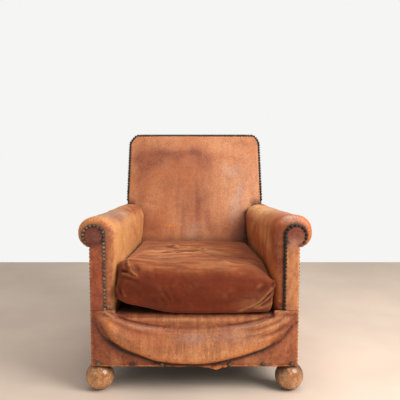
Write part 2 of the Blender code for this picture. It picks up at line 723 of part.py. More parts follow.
def apron_column(x):
    """Outer face of the apron at x, from the lip on the seat front down to the lower edge."""
    reach = abs(x)
    crease = min(CREASE_Z + 0.06 * (reach / 0.29) ** 2.2, 0.254)
    fold = min(FOLD_Z + 0.13 * (reach / 0.315) ** 2.6, crease - 0.012)
    belly = BELLY * max(0.0, 1 - (reach / 0.322) ** 2.5)
    pinch = 0.004 * max(0.0, 1 - (reach / 0.30) ** 2)
    edge = apron_edge(x)
    if reach <= LIP_X:
        lip = [(0.0285, 0.2657), (0.0140, 0.2652), (0.0035, 0.2595), (0.0010, 0.2500)]
    else:
        lip = [(APRON_Y, APRON_TOP), (APRON_Y, 0.2720), (APRON_Y, 0.2660), (APRON_Y, 0.2600)]
    lip[3] = (lip[3][0], max(lip[3][1], crease + 0.004))
    column = lip + [(APRON_Y + pinch, crease)]
    for share, swell in ((0.25, 0.55), (0.50, 0.88), (0.78, 1.0), (1.0, 0.86)):
        column.append((APRON_Y - belly * swell, crease + (fold - crease) * share))
    tuck = fold - 0.0035
    column.append((APRON_Y - belly * 0.10, tuck))
    column.append((APRON_Y, tuck - 0.002))
    column.append((APRON_Y, edge))
    return [(x, y, z) for y, z in column]


def add_apron(material):
    half = [0.034, TEAR[1], TEAR[2], 0.155, 0.195, 0.232]
    half += [LIP_X, LIP_X + 0.0075, 0.292, 0.317, HALF_WIDTH - GAP]
    columns = [-x for x in reversed(half)] + [TEAR[0], 0.012] + half
    rows = list(zip(*(apron_column(x) for x in columns)))
    add_sheet("front_apron", rows, material, flip=True, smooth=50)


# Nails ---------------------------------------------------------------------------------------
def walk(path, pitch):
    """Points at an even pitch along a polyline, as near to the given pitch as the length allows."""
    path = [Vector(point) for point in path]
    lengths = [(b - a).length for a, b in zip(path, path[1:])]
    count = max(1, round(sum(lengths) / pitch))
    step = sum(lengths) / count
    points = [path[0]]
    index, left = 0, step
    spot = path[0]
    while len(points) < count:
        ahead = (path[index + 1] - spot).length
        if ahead < left:
            left -= ahead
            index += 1
            spot = path[index]
        else:
            spot = spot + (path[index + 1] - spot).normalized() * left
            points.append(spot)
            left = step
    return points + [path[-1]]


def add_nail_row(name, path, outward, pitch, material, head=None, lift=GAP):
    """A narrow strip with a row of nail heads raised on it.

    The path lies on the leather and the strip stands lift clear of it.  outward(point) gives the
    direction that the heads face.  With a head length the heads stand apart on the strip; without
    one they fill it.
    """
    stations = walk(path, pitch)
    if head:
        spread = []
        for a, b in zip(stations, stations[1:]):
            along = (b - a).normalized()
            middle = (a + b) / 2
            spread += [middle - along * head / 2, middle + along * head / 2]
        stations = [stations[0]] + spread + [stations[-1]]
    bm = bmesh.new()
    rings = []
    for i, point in enumerate(stations):
        along = (stations[min(i + 1, len(stations) - 1)] - stations[max(i - 1, 0)]).normalized()
        out = Vector(outward(point)).normalized()
        across = out.cross(along).normalized() * NAIL_WIDE / 2
        low = point + out * lift
        high = low + out * NAIL_STRIP
        rings.append([bm.verts.new(p) for p in (low - across, low + across, high + across, high - across)])
    tops = []
    for number, (near, far) in enumerate(zip(rings, rings[1:])):
        for i in range(4):
            j = (i + 1) % 4
            face = bm.faces.new((near[i], near[j], far[j], far[i]))
            if i == 2 and (not head or number % 2 == 1):
                tops.append(face)
    bm.faces.new(rings[0])
    bm.faces.new(rings[-1])
    face_outwards(bm)
    bm.normal_update()
    bmesh.ops.inset_individual(bm, faces=tops, thickness=NAIL_WIDE * 0.26, depth=NAIL_RISE)
    add_mesh(name, bm, material)


def add_arm_nails(name, side, material):
    """Nails along the inner edge and round the head of an arm facing."""
    line = [(NAIL_X, FACING_FOOT_Z + 0.004), (NAIL_X, NAIL_ARC_Z)]
    line += arc((NAIL_ARC_X, NAIL_ARC_Z), NAIL_ARC_R, math.pi, -math.radians(35), 14)[1:]
    path = [(side * x, -LEATHER - GAP, z) for x, z in line]
    add_nail_row(name, path, lambda point: (0, -1, 0), ARM_PITCH, material)


def add_side_nails(name, side, material):
    """Nails down the front edge of the outer side."""
    y = 0.0075
    path = [(side * side_x(y), y, z) for z in (0.094, 0.478)]
    add_nail_row(name, path, lambda point: (side, SIDE_TAPER, 0), SIDE_PITCH, material)


def add_back_nails(name, material):
    """Nails round the bevelled front edge of the back, from arm to arm."""
    half = []
    for z in (0.574, HEIGHT - CORNER_DROP - 0.001):
        y = back_front(z) + BACK_EDGE / 2
        half.append((perimeter_x(y, z) - BACK_EDGE / 2, y, z))
    y = (back_front(HEIGHT - BACK_EDGE) + back_front(HEIGHT) + BACK_EDGE) / 2
    half.append((perimeter_x(y, HEIGHT) + 0.001, y, HEIGHT - BACK_EDGE / 2))
    path = [(-x, y, z) for x, y, z in half] + list(reversed(half))
    corner_x = half[-1][0]

    def outward(point):
        x, y, z = point
        if abs(x) < corner_x - 0.001:
            return (0, -0.55, 0.84)
        if z > HEIGHT - CORNER_DROP:
            return (math.copysign(0.55, x), -0.6, 0.6)
        return (math.copysign(0.75, x), -0.66, 0)
    add_nail_row(name, path, outward, BACK_PITCH, material, lift=NAIL_LIFT)


def add_rear_nails(name, material):
    """Widely spaced nails round the edge of the outside back."""
    path = [(x, back_rear(z), z) for x, z in rear_outline(0.009)]
    add_nail_row(name, path, lambda point: (0, 1, -REAR_RAKE), REAR_PITCH, material, head=0.009)


def add_apron_nails(material):
    """Large domed nails that hold the apron's lower edge to the front rail."""
    angles = (math.pi / 2, math.pi / 4, 0.0)
    profile = [(APRON_NAIL_R * math.cos(a), APRON_NAIL_RIM + APRON_NAIL_DOME * math.sin(a)) for a in angles]
    profile += [(APRON_NAIL_R, 0.0), (0.0, 0.0)]
    for number, x in enumerate(APRON_NAIL_X, 1):
        add_turned(f"apron_nail_{number}", profile, material, 6, (x, APRON_Y - GAP, APRON_NAIL_Z),
                   rotation=(math.pi / 2, 0, 0))


# Cushion -------------------------------------------------------------------------------------
def add_cushion(material):
    """Loose seat cushion: crowned on top, drawn in at its edges, cut back to the raked back."""
    bm = bmesh.new()
    bmesh.ops.create_cube(bm, size=2.0)
    bmesh.ops.subdivide_edges(bm, edges=bm.edges[:], cuts=2, use_grid_fill=True)
    for vert in bm.verts:
        u, v, w = (math.copysign(CUSHION_LOOP, c) if abs(c) < 0.9 else c for c in vert.co)
        height = (w + 1) / 2
        z = CUSHION_LOW + (CUSHION_TOP - CUSHION_LOW) * height
        front = CUSHION_FRONT + 0.006 * w * w
        back = back_front(z) - BACK_CROWN - 0.004
        y = front + (back - front) * (v + 1) / 2
        y -= 0.022 * max(0.0, -v) * (1 - u * u) * (1 - w * w)
        half = CUSHION_HALF - SIDE_TAPER * y
        half += 0.006 * max(0.0, -v - CUSHION_LOOP)
        x = u * (half - 0.004 * w * w)
        if w > 0:
            z += CUSHION_CROWN * (1 - u * u) * (1 - v * v)
        vert.co = (x, y, z)
    face_outwards(bm)
    cushion = add_mesh("seat_cushion", bm, material, smooth=60)
    soft = cushion.modifiers.new("soft", 'SUBSURF')
    soft.levels = 1
    soft.render_levels = 1


# The whole chair -----------------------------------------------------------------------------
for old in list(bpy.data.objects):
    bpy.data.objects.remove(old, do_unlink=True)

PARTS = make_collection("club_chair")
CUTTERS = make_collection("cutters")
CHAIR = bpy.data.objects.new("chair", None)
PARTS.objects.link(CHAIR)
CHAIR.location = (0.0, -CENTRE_Y, 0.0)
BACK_SPACE = make_back_space()

TAN = make_material("tan_leather", (0.42, 0.17, 0.06), 0.50)
RUSSET = make_material("russet_leather", (0.26, 0.08, 0.035), 0.52)
VELVET = make_material("brown_velvet", (0.20, 0.055, 0.02), 0.95)
BEECH = make_material("beech", (0.55, 0.38, 0.22), 0.60)
OAK = make_material("worn_oak", (0.34, 0.20, 0.10), 0.55)
BRONZE = make_material("aged_bronze", (0.09, 0.07, 0.045), 0.45, 0.9)
STEEL = make_material("spring_steel", (0.25, 0.25, 0.26), 0.40, 1.0)
JUTE = make_material("jute", (0.35, 0.26, 0.15), 0.95)
FELT = make_material("stuffing", (0.48, 0.41, 0.31), 0.98)
LINING = make_material("black_lining", (0.02, 0.02, 0.02), 0.95)

for word, hand in SIDES:
    add_foot(f"front_foot_{word}", hand, OAK)
    add_front_post(f"front_post_{word}", hand, BEECH)
    add_upright(f"back_upright_{word}", hand, BEECH)
    add_side_rail(f"side_rail_{word}", hand, BEECH)
    add_arm_rail(f"arm_rail_{word}", hand, BEECH)
    add_corner_block(f"front_corner_block_{word}", hand, False, BEECH)
    add_corner_block(f"rear_corner_block_{word}", hand, True, BEECH)
    add_arm_stuffing(f"arm_stuffing_{word}", hand, FELT)
    add_arm_cover(f"arm_cover_{word}", hand, TAN)
    add_arm_facing(f"arm_facing_{word}", hand, RUSSET)
    add_outside_arm(f"outside_arm_{word}", hand, RUSSET)
    add_arm_nails(f"arm_nails_{word}", hand, BRONZE)
    add_side_nails(f"side_nails_{word}", hand, BRONZE)
add_cross_rails(BEECH)
add_seat_webbing(JUTE)
add_back_webbing(JUTE)
add_springs(STEEL)
add_seat_layers(JUTE, FELT, RUSSET)
add_dust_cover(LINING)
add_back_stuffing("back_stuffing", FELT)
add_inside_back("inside_back_cover", TAN)
add_back_border("back_border", RUSSET)
add_outside_back("outside_back_cover", RUSSET)
add_back_nails("back_nails", BRONZE)
add_rear_nails("rear_nails", BRONZE)
add_apron(TAN)
add_apron_nails(BRONZE)
add_cushion(VELVET)
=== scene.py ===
"""Dresses the worn leather club chair: covers, nails, cushion, finishes, light and camera.

The chair faces -Y and stands on Z = 0.  The covers follow the same named lines as the solids.
Depths inside the classes are measured back from the flat front of the arms, and Lines.world
moves a point into the frame.  Lengths are metres.
"""
import logging
import math
import random
from dataclasses import dataclass, field
from enum import Enum
from typing import Any, Callable, Iterable, Sequence

import bmesh
import bpy
import numpy as np
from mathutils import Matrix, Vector, noise


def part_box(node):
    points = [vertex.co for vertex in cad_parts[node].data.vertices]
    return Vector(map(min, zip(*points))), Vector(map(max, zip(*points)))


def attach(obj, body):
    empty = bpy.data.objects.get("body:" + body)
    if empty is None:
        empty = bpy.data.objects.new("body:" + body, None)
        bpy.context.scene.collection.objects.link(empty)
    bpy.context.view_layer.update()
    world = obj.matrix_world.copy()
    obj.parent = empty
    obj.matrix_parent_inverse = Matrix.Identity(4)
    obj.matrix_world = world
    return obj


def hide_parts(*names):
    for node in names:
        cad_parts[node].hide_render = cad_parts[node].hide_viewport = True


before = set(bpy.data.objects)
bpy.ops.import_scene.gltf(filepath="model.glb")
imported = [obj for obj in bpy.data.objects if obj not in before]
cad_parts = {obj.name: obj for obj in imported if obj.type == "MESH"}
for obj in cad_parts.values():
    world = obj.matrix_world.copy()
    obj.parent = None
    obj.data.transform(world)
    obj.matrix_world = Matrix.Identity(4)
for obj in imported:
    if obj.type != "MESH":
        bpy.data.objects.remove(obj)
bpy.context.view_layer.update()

LOG = logging.getLogger("club_chair")
Colour = tuple[float, float, float]
Point = tuple[float, float, float]
Pair = tuple[float, float]
Row = tuple[Any, ...]
Number = float | np.ndarray
Amount = Callable[[Vector, float, float], float]
Shape, Material, Piece = bmesh.types.BMesh, bpy.types.Material, bpy.types.Object
Socket = bpy.types.NodeSocket


class Side(Enum):
    """The two sides of the chair, as the sign of X."""

    LEFT = -1
    RIGHT = 1

    @property
    def word(self) -> str:
        """Name of the side in node names."""
        return self.name.lower()

    def of(self, left: float, right: float) -> float:
        """The value of this side."""
        return left if self is Side.LEFT else right


def clamp(value: Number, low: float = 0.0, high: float = 1.0) -> Number:
    """Keep a value, or each of many, between two limits."""
    return np.clip(value, low, high) if isinstance(value, np.ndarray) else max(low, min(high, value))


def blend(a: float, b: float, share: float) -> float:
    """Value between a and b."""
    return a + (b - a) * share


def ease(value: Number, start: Number, end: Number) -> Number:
    """Smooth step from 0 at start to 1 at end."""
    share = clamp((value - start) / (end - start))
    return share * share * (3 - 2 * share)


def hump(value: Number, middle: Number, width: float) -> Number:
    """Bell curve of height one."""
    power = -((value - middle) / width) ** 2
    return np.exp(power) if isinstance(power, np.ndarray) else math.exp(power)


def marks(a: Number, b: Number, *rows: Sequence[float]) -> Number:
    """Sum of soft marks: strength, then middle and width along a and along b for each."""
    return sum(row[0] * hump(a, row[1], row[2]) * hump(b, row[3], row[4]) for row in rows)


def wave(value: float, pitch: float) -> float:
    """Sine wave that repeats at a pitch."""
    return math.sin(value / pitch * math.pi * 2)


def rounded(near: float) -> float:
    """Share that a quarter-round edge falls, for the share of its width from 0 at the rim."""
    return 1 - math.sqrt(max(0.0, 1 - (1 - near) ** 2))


def rough(point: Iterable[float], scale: float, seed: float = 0.0, drawn: Point = (1.0, 1.0, 1.0)) -> float:
    """Smooth noise between about -1 and 1 with features of 1 / scale metres, squeezed along the axes by drawn."""
    return noise.noise(Vector([c * d for c, d in zip(point, drawn)]) * scale + Vector((seed, seed * 1.7, -seed)))


@dataclass(frozen=True)
class Lines:
    """Named lines of the body, with depth y measured back from the arm fronts."""

    centre_y: float
    half_width: float = 0.34
    side_taper: float = 0.1
    skirt: float = 0.089
    height: float = 0.838
    leather: float = 0.0025
    arm_drop: float = 0.058
    knee: float = 0.45
    back_foot_y: float = 0.52
    back_foot_z: float = 0.41
    back_rake: float = 0.333
    rear_foot_y: float = 0.72
    rear_rake: float = 0.107
    shoulder: float = 0.545
    shoulder_in: float = 0.0053
    back_flare: float = 0.009
    corner_drop: float = 0.034
    corner_run: float = 0.034
    corner_flat: Pair = (0.62, 0.28)
    back_crown: float = 0.016
    back_low: float = 0.268

    @property
    def corner(self) -> float:
        """Height where the top corners begin."""
        return self.height - self.corner_drop

    def world(self, x: float, y: float, z: float) -> Vector:
        """A point of the body in the frame."""
        return Vector((x, y - self.centre_y, z))

    def back_front(self, z: float) -> float:
        """Depth of the raked front plane of the back."""
        return self.back_foot_y + (z - self.back_foot_z) * self.back_rake

    def back_rear(self, z: float) -> float:
        """Depth of the rear plane."""
        return self.rear_foot_y + (z - self.skirt) * self.rear_rake

    def side_x(self, y: float, z: float = 0.0) -> float:
        """Half width of the side face, which stands in a little above the arms, in front."""
        share = (y - self.back_front(z)) / (self.back_rear(z) - self.back_front(z))
        step = self.shoulder_in * ease(z, 0.46, 0.56) * ease(share, 0.62, 0.12)
        return self.half_width - self.side_taper * y - step + self.back_flare * max(0, z - 0.56)

    def perimeter_x(self, y: float, z: float, side: float = -1.0) -> float:
        """Half width of the back; the left top corner is cut flat and the right one is rounder."""
        share = clamp((z - self.corner) / self.corner_drop)
        flat = self.corner_flat[0 if side < 0 else 1]
        turn = flat * share + (1 - flat) * (1 - math.sqrt(max(0, 1 - share * share)))
        return self.side_x(y, min(z, self.corner)) - self.corner_run * turn

    def crown(self, x: float, z: float) -> float:
        """How far the stuffed back swells forward of its front plane."""
        middle = (self.back_low + self.height) / 2
        rise = (z - middle) / (self.height - middle)
        return self.back_crown * max(0, 1 - (x / 0.27) ** 2) * max(0, 1 - rise ** 4)

    def fall(self, z: float) -> float:
        """Share of the arm's fall towards the back that a line at height z takes."""
        return clamp((z - self.skirt) / (self.knee - self.skirt))

    def lean(self, side: Side, x: float, y: float, z: float) -> Vector:
        """A point of an arm section, in the frame."""
        drop = self.arm_drop * y * self.fall(z)
        return self.world(side.value * (x - self.side_taper * y), y, z - drop)

    def arm_end(self, z: float) -> float:
        """Depth where an arm line that starts at height z meets the rear plane."""
        return self.back_rear(z) / (1 + self.arm_drop * self.fall(z) * self.rear_rake)

    def arm_meets_back(self, x: float, z: float) -> float:
        """Depth where an arm line meets the front of the inside back."""
        slope = self.arm_drop * self.fall(z) * self.back_rake
        depth = self.back_foot_y
        for _ in range(3):
            swell = self.crown(x - self.side_taper * depth, z - self.arm_drop * depth)
            depth = (self.back_front(z) - swell - 0.001) / (1 + slope)
        return depth


FOOT_DEPTH = 0.0275
FOOT_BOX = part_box("front_foot_left")
BODY = Lines(centre_y=FOOT_DEPTH - (FOOT_BOX[0].y + FOOT_BOX[1].y) / 2)


# Mesh helpers
def grid_skin(
    columns: int,
    rows: int,
    place: Callable[[float, float], Vector],
    inside: Vector | None = None,
    lumps: Amount | None = None,
) -> Shape:
    """Start a sheet as a grid, lay it on a surface and give it its lumps.

    Args:
        columns: cells across.
        rows: cells along.
        place: gives the point of the surface for shares across and along.
        inside: a point that the faces are to look away from.
        lumps: gives the move outwards of a point with its shares.

    Returns:
        The sheet, with the shares kept on its points as layers.
    """
    bm = bmesh.new()
    across, along = [bm.verts.layers.float.new(name) for name in ("across", "along")]
    bmesh.ops.create_grid(bm, x_segments=columns, y_segments=rows, size=0.5)
    for vert in bm.verts:
        vert[across] = clamp(vert.co.x + 0.5)
        vert[along] = clamp(vert.co.y + 0.5)
        vert.co = place(vert[across], vert[along])
    bm.normal_update()
    if inside is not None:
        face_away(bm, inside)
    if lumps is not None:
        swell(bm, lumps)
    return bm


def face_away(bm: Shape, inside: Vector) -> None:
    """Turn a sheet so that its faces look away from a point inside the chair."""
    bm.normal_update()
    total = sum(face.normal.dot(face.calc_center_median() - inside) * face.calc_area() for face in bm.faces)
    if total < 0:
        bmesh.ops.reverse_faces(bm, faces=bm.faces)
    bm.normal_update()


def swell(bm: Shape, amount: Amount) -> None:
    """Move each point of a sheet along its normal."""
    across, along = [bm.verts.layers.float[name] for name in ("across", "along")]
    bm.normal_update()
    moves = [(vert, vert.normal * amount(vert.co, vert[across], vert[along])) for vert in bm.verts]
    for vert, move in moves:
        vert.co += move
    bm.normal_update()


class Spots:
    """All points of a shape as arrays, to work out where it is worn, faded and dirty, and where shade and highlights
    are painted.
    """

    def __init__(self, bm: Shape) -> None:
        """Read the points with their shares across and along."""
        self.shape = bm
        across, along = [bm.verts.layers.float[name] for name in ("across", "along")]
        self.rows = np.array([(*vert.co, vert[across], vert[along]) for vert in bm.verts]).T

    def rough(self, scale: float, seed: float, drawn: Point = (1.0, 1.0, 1.0)) -> np.ndarray:
        """Smooth noise at the points."""
        return np.array([rough(spot, scale, seed, drawn) for spot in self.rows[:3].T])

    def store(self, **masks: Number) -> None:
        """Store masks on the points, for the finish to read by name."""
        for name, mask in masks.items():
            layer = self.shape.verts.layers.float.new(name)
            for vert, share in zip(self.shape.verts, clamp(mask + np.zeros(len(self.shape.verts)))):
                vert[layer] = share


@dataclass(frozen=True)
class Crease:
    """A fold pressed into a surface along a line; depth is negative for a ridge.

    The line is laid on the surface along one axis: 1 for folds seen from the front, 2 from above, None for none.
    """

    line: Sequence[Point]
    width: float
    depth: float
    fade: float = 0.35
    thrown: int | None = 1

    def lay(self, points: np.ndarray, step: float = 0.009) -> np.ndarray:
        """Lay the line on the surface.

        Args:
            points: one row of x, y, z for each point of the surface.
            step: spacing of the laid line.

        Returns:
            The points of the laid line.
        """
        weights = np.ones(3)
        if self.thrown is not None:
            weights[self.thrown] = 0.02
        laid = []
        for start, end in zip(self.line, self.line[1:]):
            count = max(1, round(math.dist(start, end) / step))
            laid += [np.array(start) + (np.array(end) - np.array(start)) * i / count for i in range(count)]
        laid.append(np.array(self.line[-1]))
        return np.array([points[np.argmin((points - spot) ** 2 @ weights)] for spot in laid])

    def press(self, points: np.ndarray) -> np.ndarray:
        """How deep the fold is at each point.

        Args:
            points: one row of x, y, z for each point, with y measured from the arm fronts.

        Returns:
            Depth at each point.
        """
        line = self.lay(points)
        line[1:-1] = (line[:-2] + 2 * line[1:-1] + line[2:]) / 4
        spans = np.maximum(np.linalg.norm(np.diff(line, axis=0), axis=1), 1e-6)
        starts = np.concatenate(([0], np.cumsum(spans)))
        reach = 4 * self.width
        near = np.all((points > line.min(axis=0) - reach) & (points < line.max(axis=0) + reach), axis=1)
        close = points[near]
        nearest = np.full(len(close), 1e9)
        place = np.zeros(len(close))
        for start, end, span, run in zip(line, line[1:], spans, starts):
            share = np.clip((close - start) @ (end - start) / span ** 2, 0, 1)
            away = np.linalg.norm(close - start - share[:, None] * (end - start), axis=1)
            closer = away < nearest
            nearest = np.where(closer, away, nearest)
            place = np.where(closer, run + share * span, place)
        place /= starts[-1]
        ends = np.clip(np.minimum(place, 1 - place) / self.fade, 0, 1)
        ends = ends * ends * (3 - 2 * ends) * 0.9 + 0.1
        depth = np.zeros(len(points))
        depth[near] = self.depth * ends * np.exp(-(nearest / self.width) ** 2)
        return depth


def fold_rows(rows: Iterable[Row], thrown: int | None = 1, side: int = 1, top: float = 0.0) -> list[Crease]:
    """Turn rows in millimetres into folds.

    Args:
        rows: width, depth, if wanted the share of the length that fades, then the points.
        thrown: axis along which the folds are laid on the surface.
        side: sign of X.
        top: height in metres of the points that give none.

    Returns:
        The folds.
    """
    folds = []
    for wide, deep, *line in rows:
        fade = 0.35 if isinstance(line[0], tuple) else line.pop(0)
        points = [[round(c / 1000, 6) for c in (side * spot[0], *spot[1:])] + [top] * (3 - len(spot)) for spot in line]
        folds.append(Crease(points, round(wide / 1000, 6), round(deep / 1000, 6), fade, thrown))
    return folds


def press_creases(bm: Shape, creases: Iterable[Crease], body: Lines) -> None:
    """Press folds into a mesh along its normals."""
    bm.normal_update()
    bm.verts.ensure_lookup_table()
    points = np.array([(v.co.x, v.co.y + body.centre_y, v.co.z) for v in bm.verts])
    depth = sum((crease.press(points) for crease in creases), np.zeros(len(points)))
    fold = bm.verts.layers.float.new("fold")
    for vert, down in zip(bm.verts, depth):
        vert.co -= vert.normal * float(down)
        vert[fold] = float(down)
    bm.normal_update()


def age_folds(bm: Shape, dark: str, pale: str, strength: float, full: float = 0.004) -> None:
    """Darken the hollows of the pressed folds as painted shade and lighten their ridges as painted highlights.

    Args:
        bm: a mesh after press_creases.
        dark: layer that gains painted shade in the hollows.
        pale: layer that gains painted highlight on the ridges.
        strength: greatest gain.
        full: depth of a fold that gains in full.
    """
    layers = bm.verts.layers.float
    for vert in bm.verts:
        share = clamp(vert[layers["fold"]] / full, -1, 1) * strength
        name = dark if share > 0 else pale
        vert[layers[name]] = clamp(vert[layers[name]] + abs(share))


def new_object(name: str, data: Any) -> Piece:
    """Add an object to the scene."""
    made = bpy.data.objects.new(name, data)
    bpy.context.scene.collection.objects.link(made)
    return made


def new_mesh(name: str, bm: Shape) -> bpy.types.Mesh:
    """Turn a bmesh into a mesh."""
    mesh = bpy.data.meshes.new(name)
    bm.to_mesh(mesh)
    bm.free()
    return mesh


def add_piece(
    name: str,
    bm: Shape,
    finish: Material,
    replaces: Sequence[str] = (),
    thickness: float = 0.0,
    cut: Pair | None = None,
    rests_on: Sequence[str] = (),
) -> Piece:
    """Turn a bmesh into a piece of the chair.

    Args:
        name: the piece's name.
        bm: its shape, in the frame.
        finish: its material.
        replaces: CAD nodes that it stands for.
        thickness: gives a sheet its thickness inwards.
        cut: a hide's width and length before it was fitted; not used.
        rests_on: what the hide is drawn over or nailed to; not used.

    Returns:
        The piece.
    """
    mesh = new_mesh(name, bm)
    mesh.shade_smooth()
    mesh.materials.append(finish)
    piece = new_object(name, mesh)
    if thickness:
        solid = piece.modifiers.new("thickness", 'SOLIDIFY')
        solid.thickness = thickness
        solid.offset = -1
    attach(piece, "root")
    if replaces:
        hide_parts(*replaces)
    if cut:
        list(rests_on)
    LOG.info("%s: %d faces", name, len(mesh.polygons))
    return piece


# Shader helpers
class Tree:
    """Adds nodes to a material or a group and links them."""

    def __init__(self, tree: bpy.types.NodeTree) -> None:
        """Keep the node tree that is built."""
        self.tree = tree

    def add(self, kind: str, values: dict[Any, Any] | None = None, **settings: Any) -> bpy.types.Node:
        """Add a node.

        Args:
            kind: the node's type without its ShaderNode prefix.
            values: constants or output sockets for its inputs, by name or number.
            settings: properties of the node.

        Returns:
            The node.
        """
        node = self.tree.nodes.new("ShaderNode" + kind)
        for key, value in settings.items():
            setattr(node, key, value)
        for key, value in (values or {}).items():
            if isinstance(value, Socket):
                self.tree.links.new(value, node.inputs[key])
            else:
                node.inputs[key].default_value = value
        return node

    def math(self, operation: str, a: Any, b: Any = 0.0, limit: bool = False) -> Socket:
        """Output of a Math node."""
        return self.add("Math", {0: a, 1: b}, operation=operation, use_clamp=limit).outputs[0]

    def noise(self, where: Any, scale: float, detail: float = 3.0, rough: float = 0.55) -> Socket:
        """Output value of a Noise Texture."""
        values = {"Vector": where, "Scale": scale, "Detail": detail, "Roughness": rough}
        return self.add("TexNoise", values).outputs["Fac"]

    def window(self, value: Any, low: float, high: float, out: Pair = (0.0, 1.0)) -> Socket:
        """Value mapped smoothly from low..high to out."""
        values = {"Value": value, "From Min": low, "From Max": high, "To Min": out[0], "To Max": out[1]}
        return self.add("MapRange", values, interpolation_type='SMOOTHSTEP').outputs["Result"]

    def mix(self, share: Any, a: Any, b: Any, blend_type: str = 'MIX') -> Socket:
        """Output colour of a Mix node."""
        pair = [(*c, 1) if isinstance(c, tuple) and len(c) == 3 else c for c in (a, b)]
        node = self.add("Mix", {0: share, 6: pair[0], 7: pair[1]}, data_type='RGBA', blend_type=blend_type)
        return node.outputs[2]

    def times(self, a: Any, b: Any) -> Socket:
        """Product of two values."""
        return self.math('MULTIPLY', a, b)

    def plus(self, a: Any, b: Any, limit: bool = False) -> Socket:
        """Sum of two values."""
        return self.math('ADD', a, b, limit)

    def scaled(self, where: Any, scale: Point) -> Socket:
        """Coordinates scaled along each axis."""
        return self.add("Mapping", {"Vector": where, "Scale": scale}).outputs[0]

    def wander(self, where: Any, scale: Any, reach: float) -> Socket:
        """Coordinates bent by soft noise."""
        soft = self.add("TexNoise", {"Vector": where, "Scale": scale, "Detail": 2}).outputs["Color"]
        bend = self.add("VectorMath", {0: soft, "Scale": reach}, operation='SCALE').outputs[0]
        return self.add("VectorMath", {0: where, 1: bend}, operation='ADD').outputs[0]

    def mask(self, name: str) -> Socket:
        """A mask stored on the piece's points."""
        return self.add("Attribute", attribute_name=name).outputs["Fac"]

    def group(self, shared: bpy.types.NodeTree, values: dict[str, Any]) -> bpy.types.Node:
        """Place a shared group."""
        return self.add("Group", values, node_tree=shared)


def new_group(name: str, inputs: dict[str, float | None], outputs: Sequence[str]) -> tuple[Tree, Any, Any]:
    """Start a shared shader node group.

    Args:
        name: the group's name.
        inputs: its inputs with their defaults, None for a vector.
        outputs: its value outputs.

    Returns:
        The tree, its input node and its output node.
    """
    shared = bpy.data.node_groups.new(name, "ShaderNodeTree")
    for key, default in inputs.items():
        kind = "NodeSocketVector" if default is None else "NodeSocketFloat"
        socket = shared.interface.new_socket(key, in_out='INPUT', socket_type=kind)
        if default is not None:
            socket.default_value = default
    for key in outputs:
        shared.interface.new_socket(key, in_out='OUTPUT', socket_type="NodeSocketFloat")
    return Tree(shared), shared.nodes.new("NodeGroupInput"), shared.nodes.new("NodeGroupOutput")


def make_blotches() -> bpy.types.NodeTree:
    """Soft uneven patches at two sizes, for stains and faded areas."""
    tree, source, sink = new_group("blotches", {"Where": None, "Size": 0.1, "Seed": 0}, ["Broad", "Small"])
    shift = tree.add("CombineXYZ", {0: source.outputs["Seed"], 1: source.outputs["Seed"]}).outputs[0]
    moved = tree.add("VectorMath", {0: source.outputs["Where"], 1: shift}, operation='ADD').outputs[0]
    scale = tree.math('DIVIDE', 1, source.outputs["Size"])
    bent = tree.wander(moved, tree.times(scale, 2.2), 0.05)
    broad = tree.noise(bent, scale, 4, 0.6)
    small = tree.noise(bent, tree.times(scale, 4.5), 5, 0.65)
    tree.tree.links.new(tree.window(broad, 0.36, 0.66), sink.inputs["Broad"])
    tree.tree.links.new(tree.window(small, 0.38, 0.68), sink.inputs["Small"])
    return tree.tree


def make_hide() -> bpy.types.NodeTree:
    """Leather surface: pebbled grain, fine cracks and soft wrinkles."""
    tree, source, sink = new_group("hide", {"Where": None, "Grain": 520, "Cracks": 95}, ["Height", "Crack"])
    where = source.outputs["Where"]
    bent = tree.wander(where, 60, 0.012)
    pebble = tree.add("TexVoronoi", {"Vector": bent, "Scale": source.outputs["Grain"]}).outputs["Distance"]
    edge = tree.add("TexVoronoi", {"Vector": bent, "Scale": source.outputs["Cracks"]}, feature='DISTANCE_TO_EDGE')
    line = tree.window(edge.outputs["Distance"], 0, 0.09, (1, 0))
    crack = tree.times(line, tree.window(tree.noise(where, 13, 3), 0.46, 0.66))
    height = tree.plus(tree.times(pebble, 0.35), tree.times(tree.noise(bent, 150, 3, 0.6), 0.9))
    height = tree.math('SUBTRACT', height, tree.times(crack, 0.5))
    tree.tree.links.new(height, sink.inputs["Height"])
    tree.tree.links.new(crack, sink.inputs["Crack"])
    return tree.tree


def make_dust() -> bpy.types.NodeTree:
    """Fine specks, for dirt and worn spots."""
    tree, source, sink = new_group("specks", {"Where": None, "Scale": 260, "Cover": 0.4}, ["Specks"])
    fine = tree.noise(source.outputs["Where"], source.outputs["Scale"], 3, 0.7)
    level = tree.math('SUBTRACT', 0.75, tree.times(source.outputs["Cover"], 0.5))
    over = tree.math('MULTIPLY', tree.math('SUBTRACT', fine, level), 9, limit=True)
    tree.tree.links.new(over, sink.inputs["Specks"])
    return tree.tree


class Finishes:
    """The shader groups that the finishes share."""

    def __init__(self) -> None:
        """Build each group once."""
        self.blotches = make_blotches()
        self.hide = make_hide()
        self.specks = make_dust()


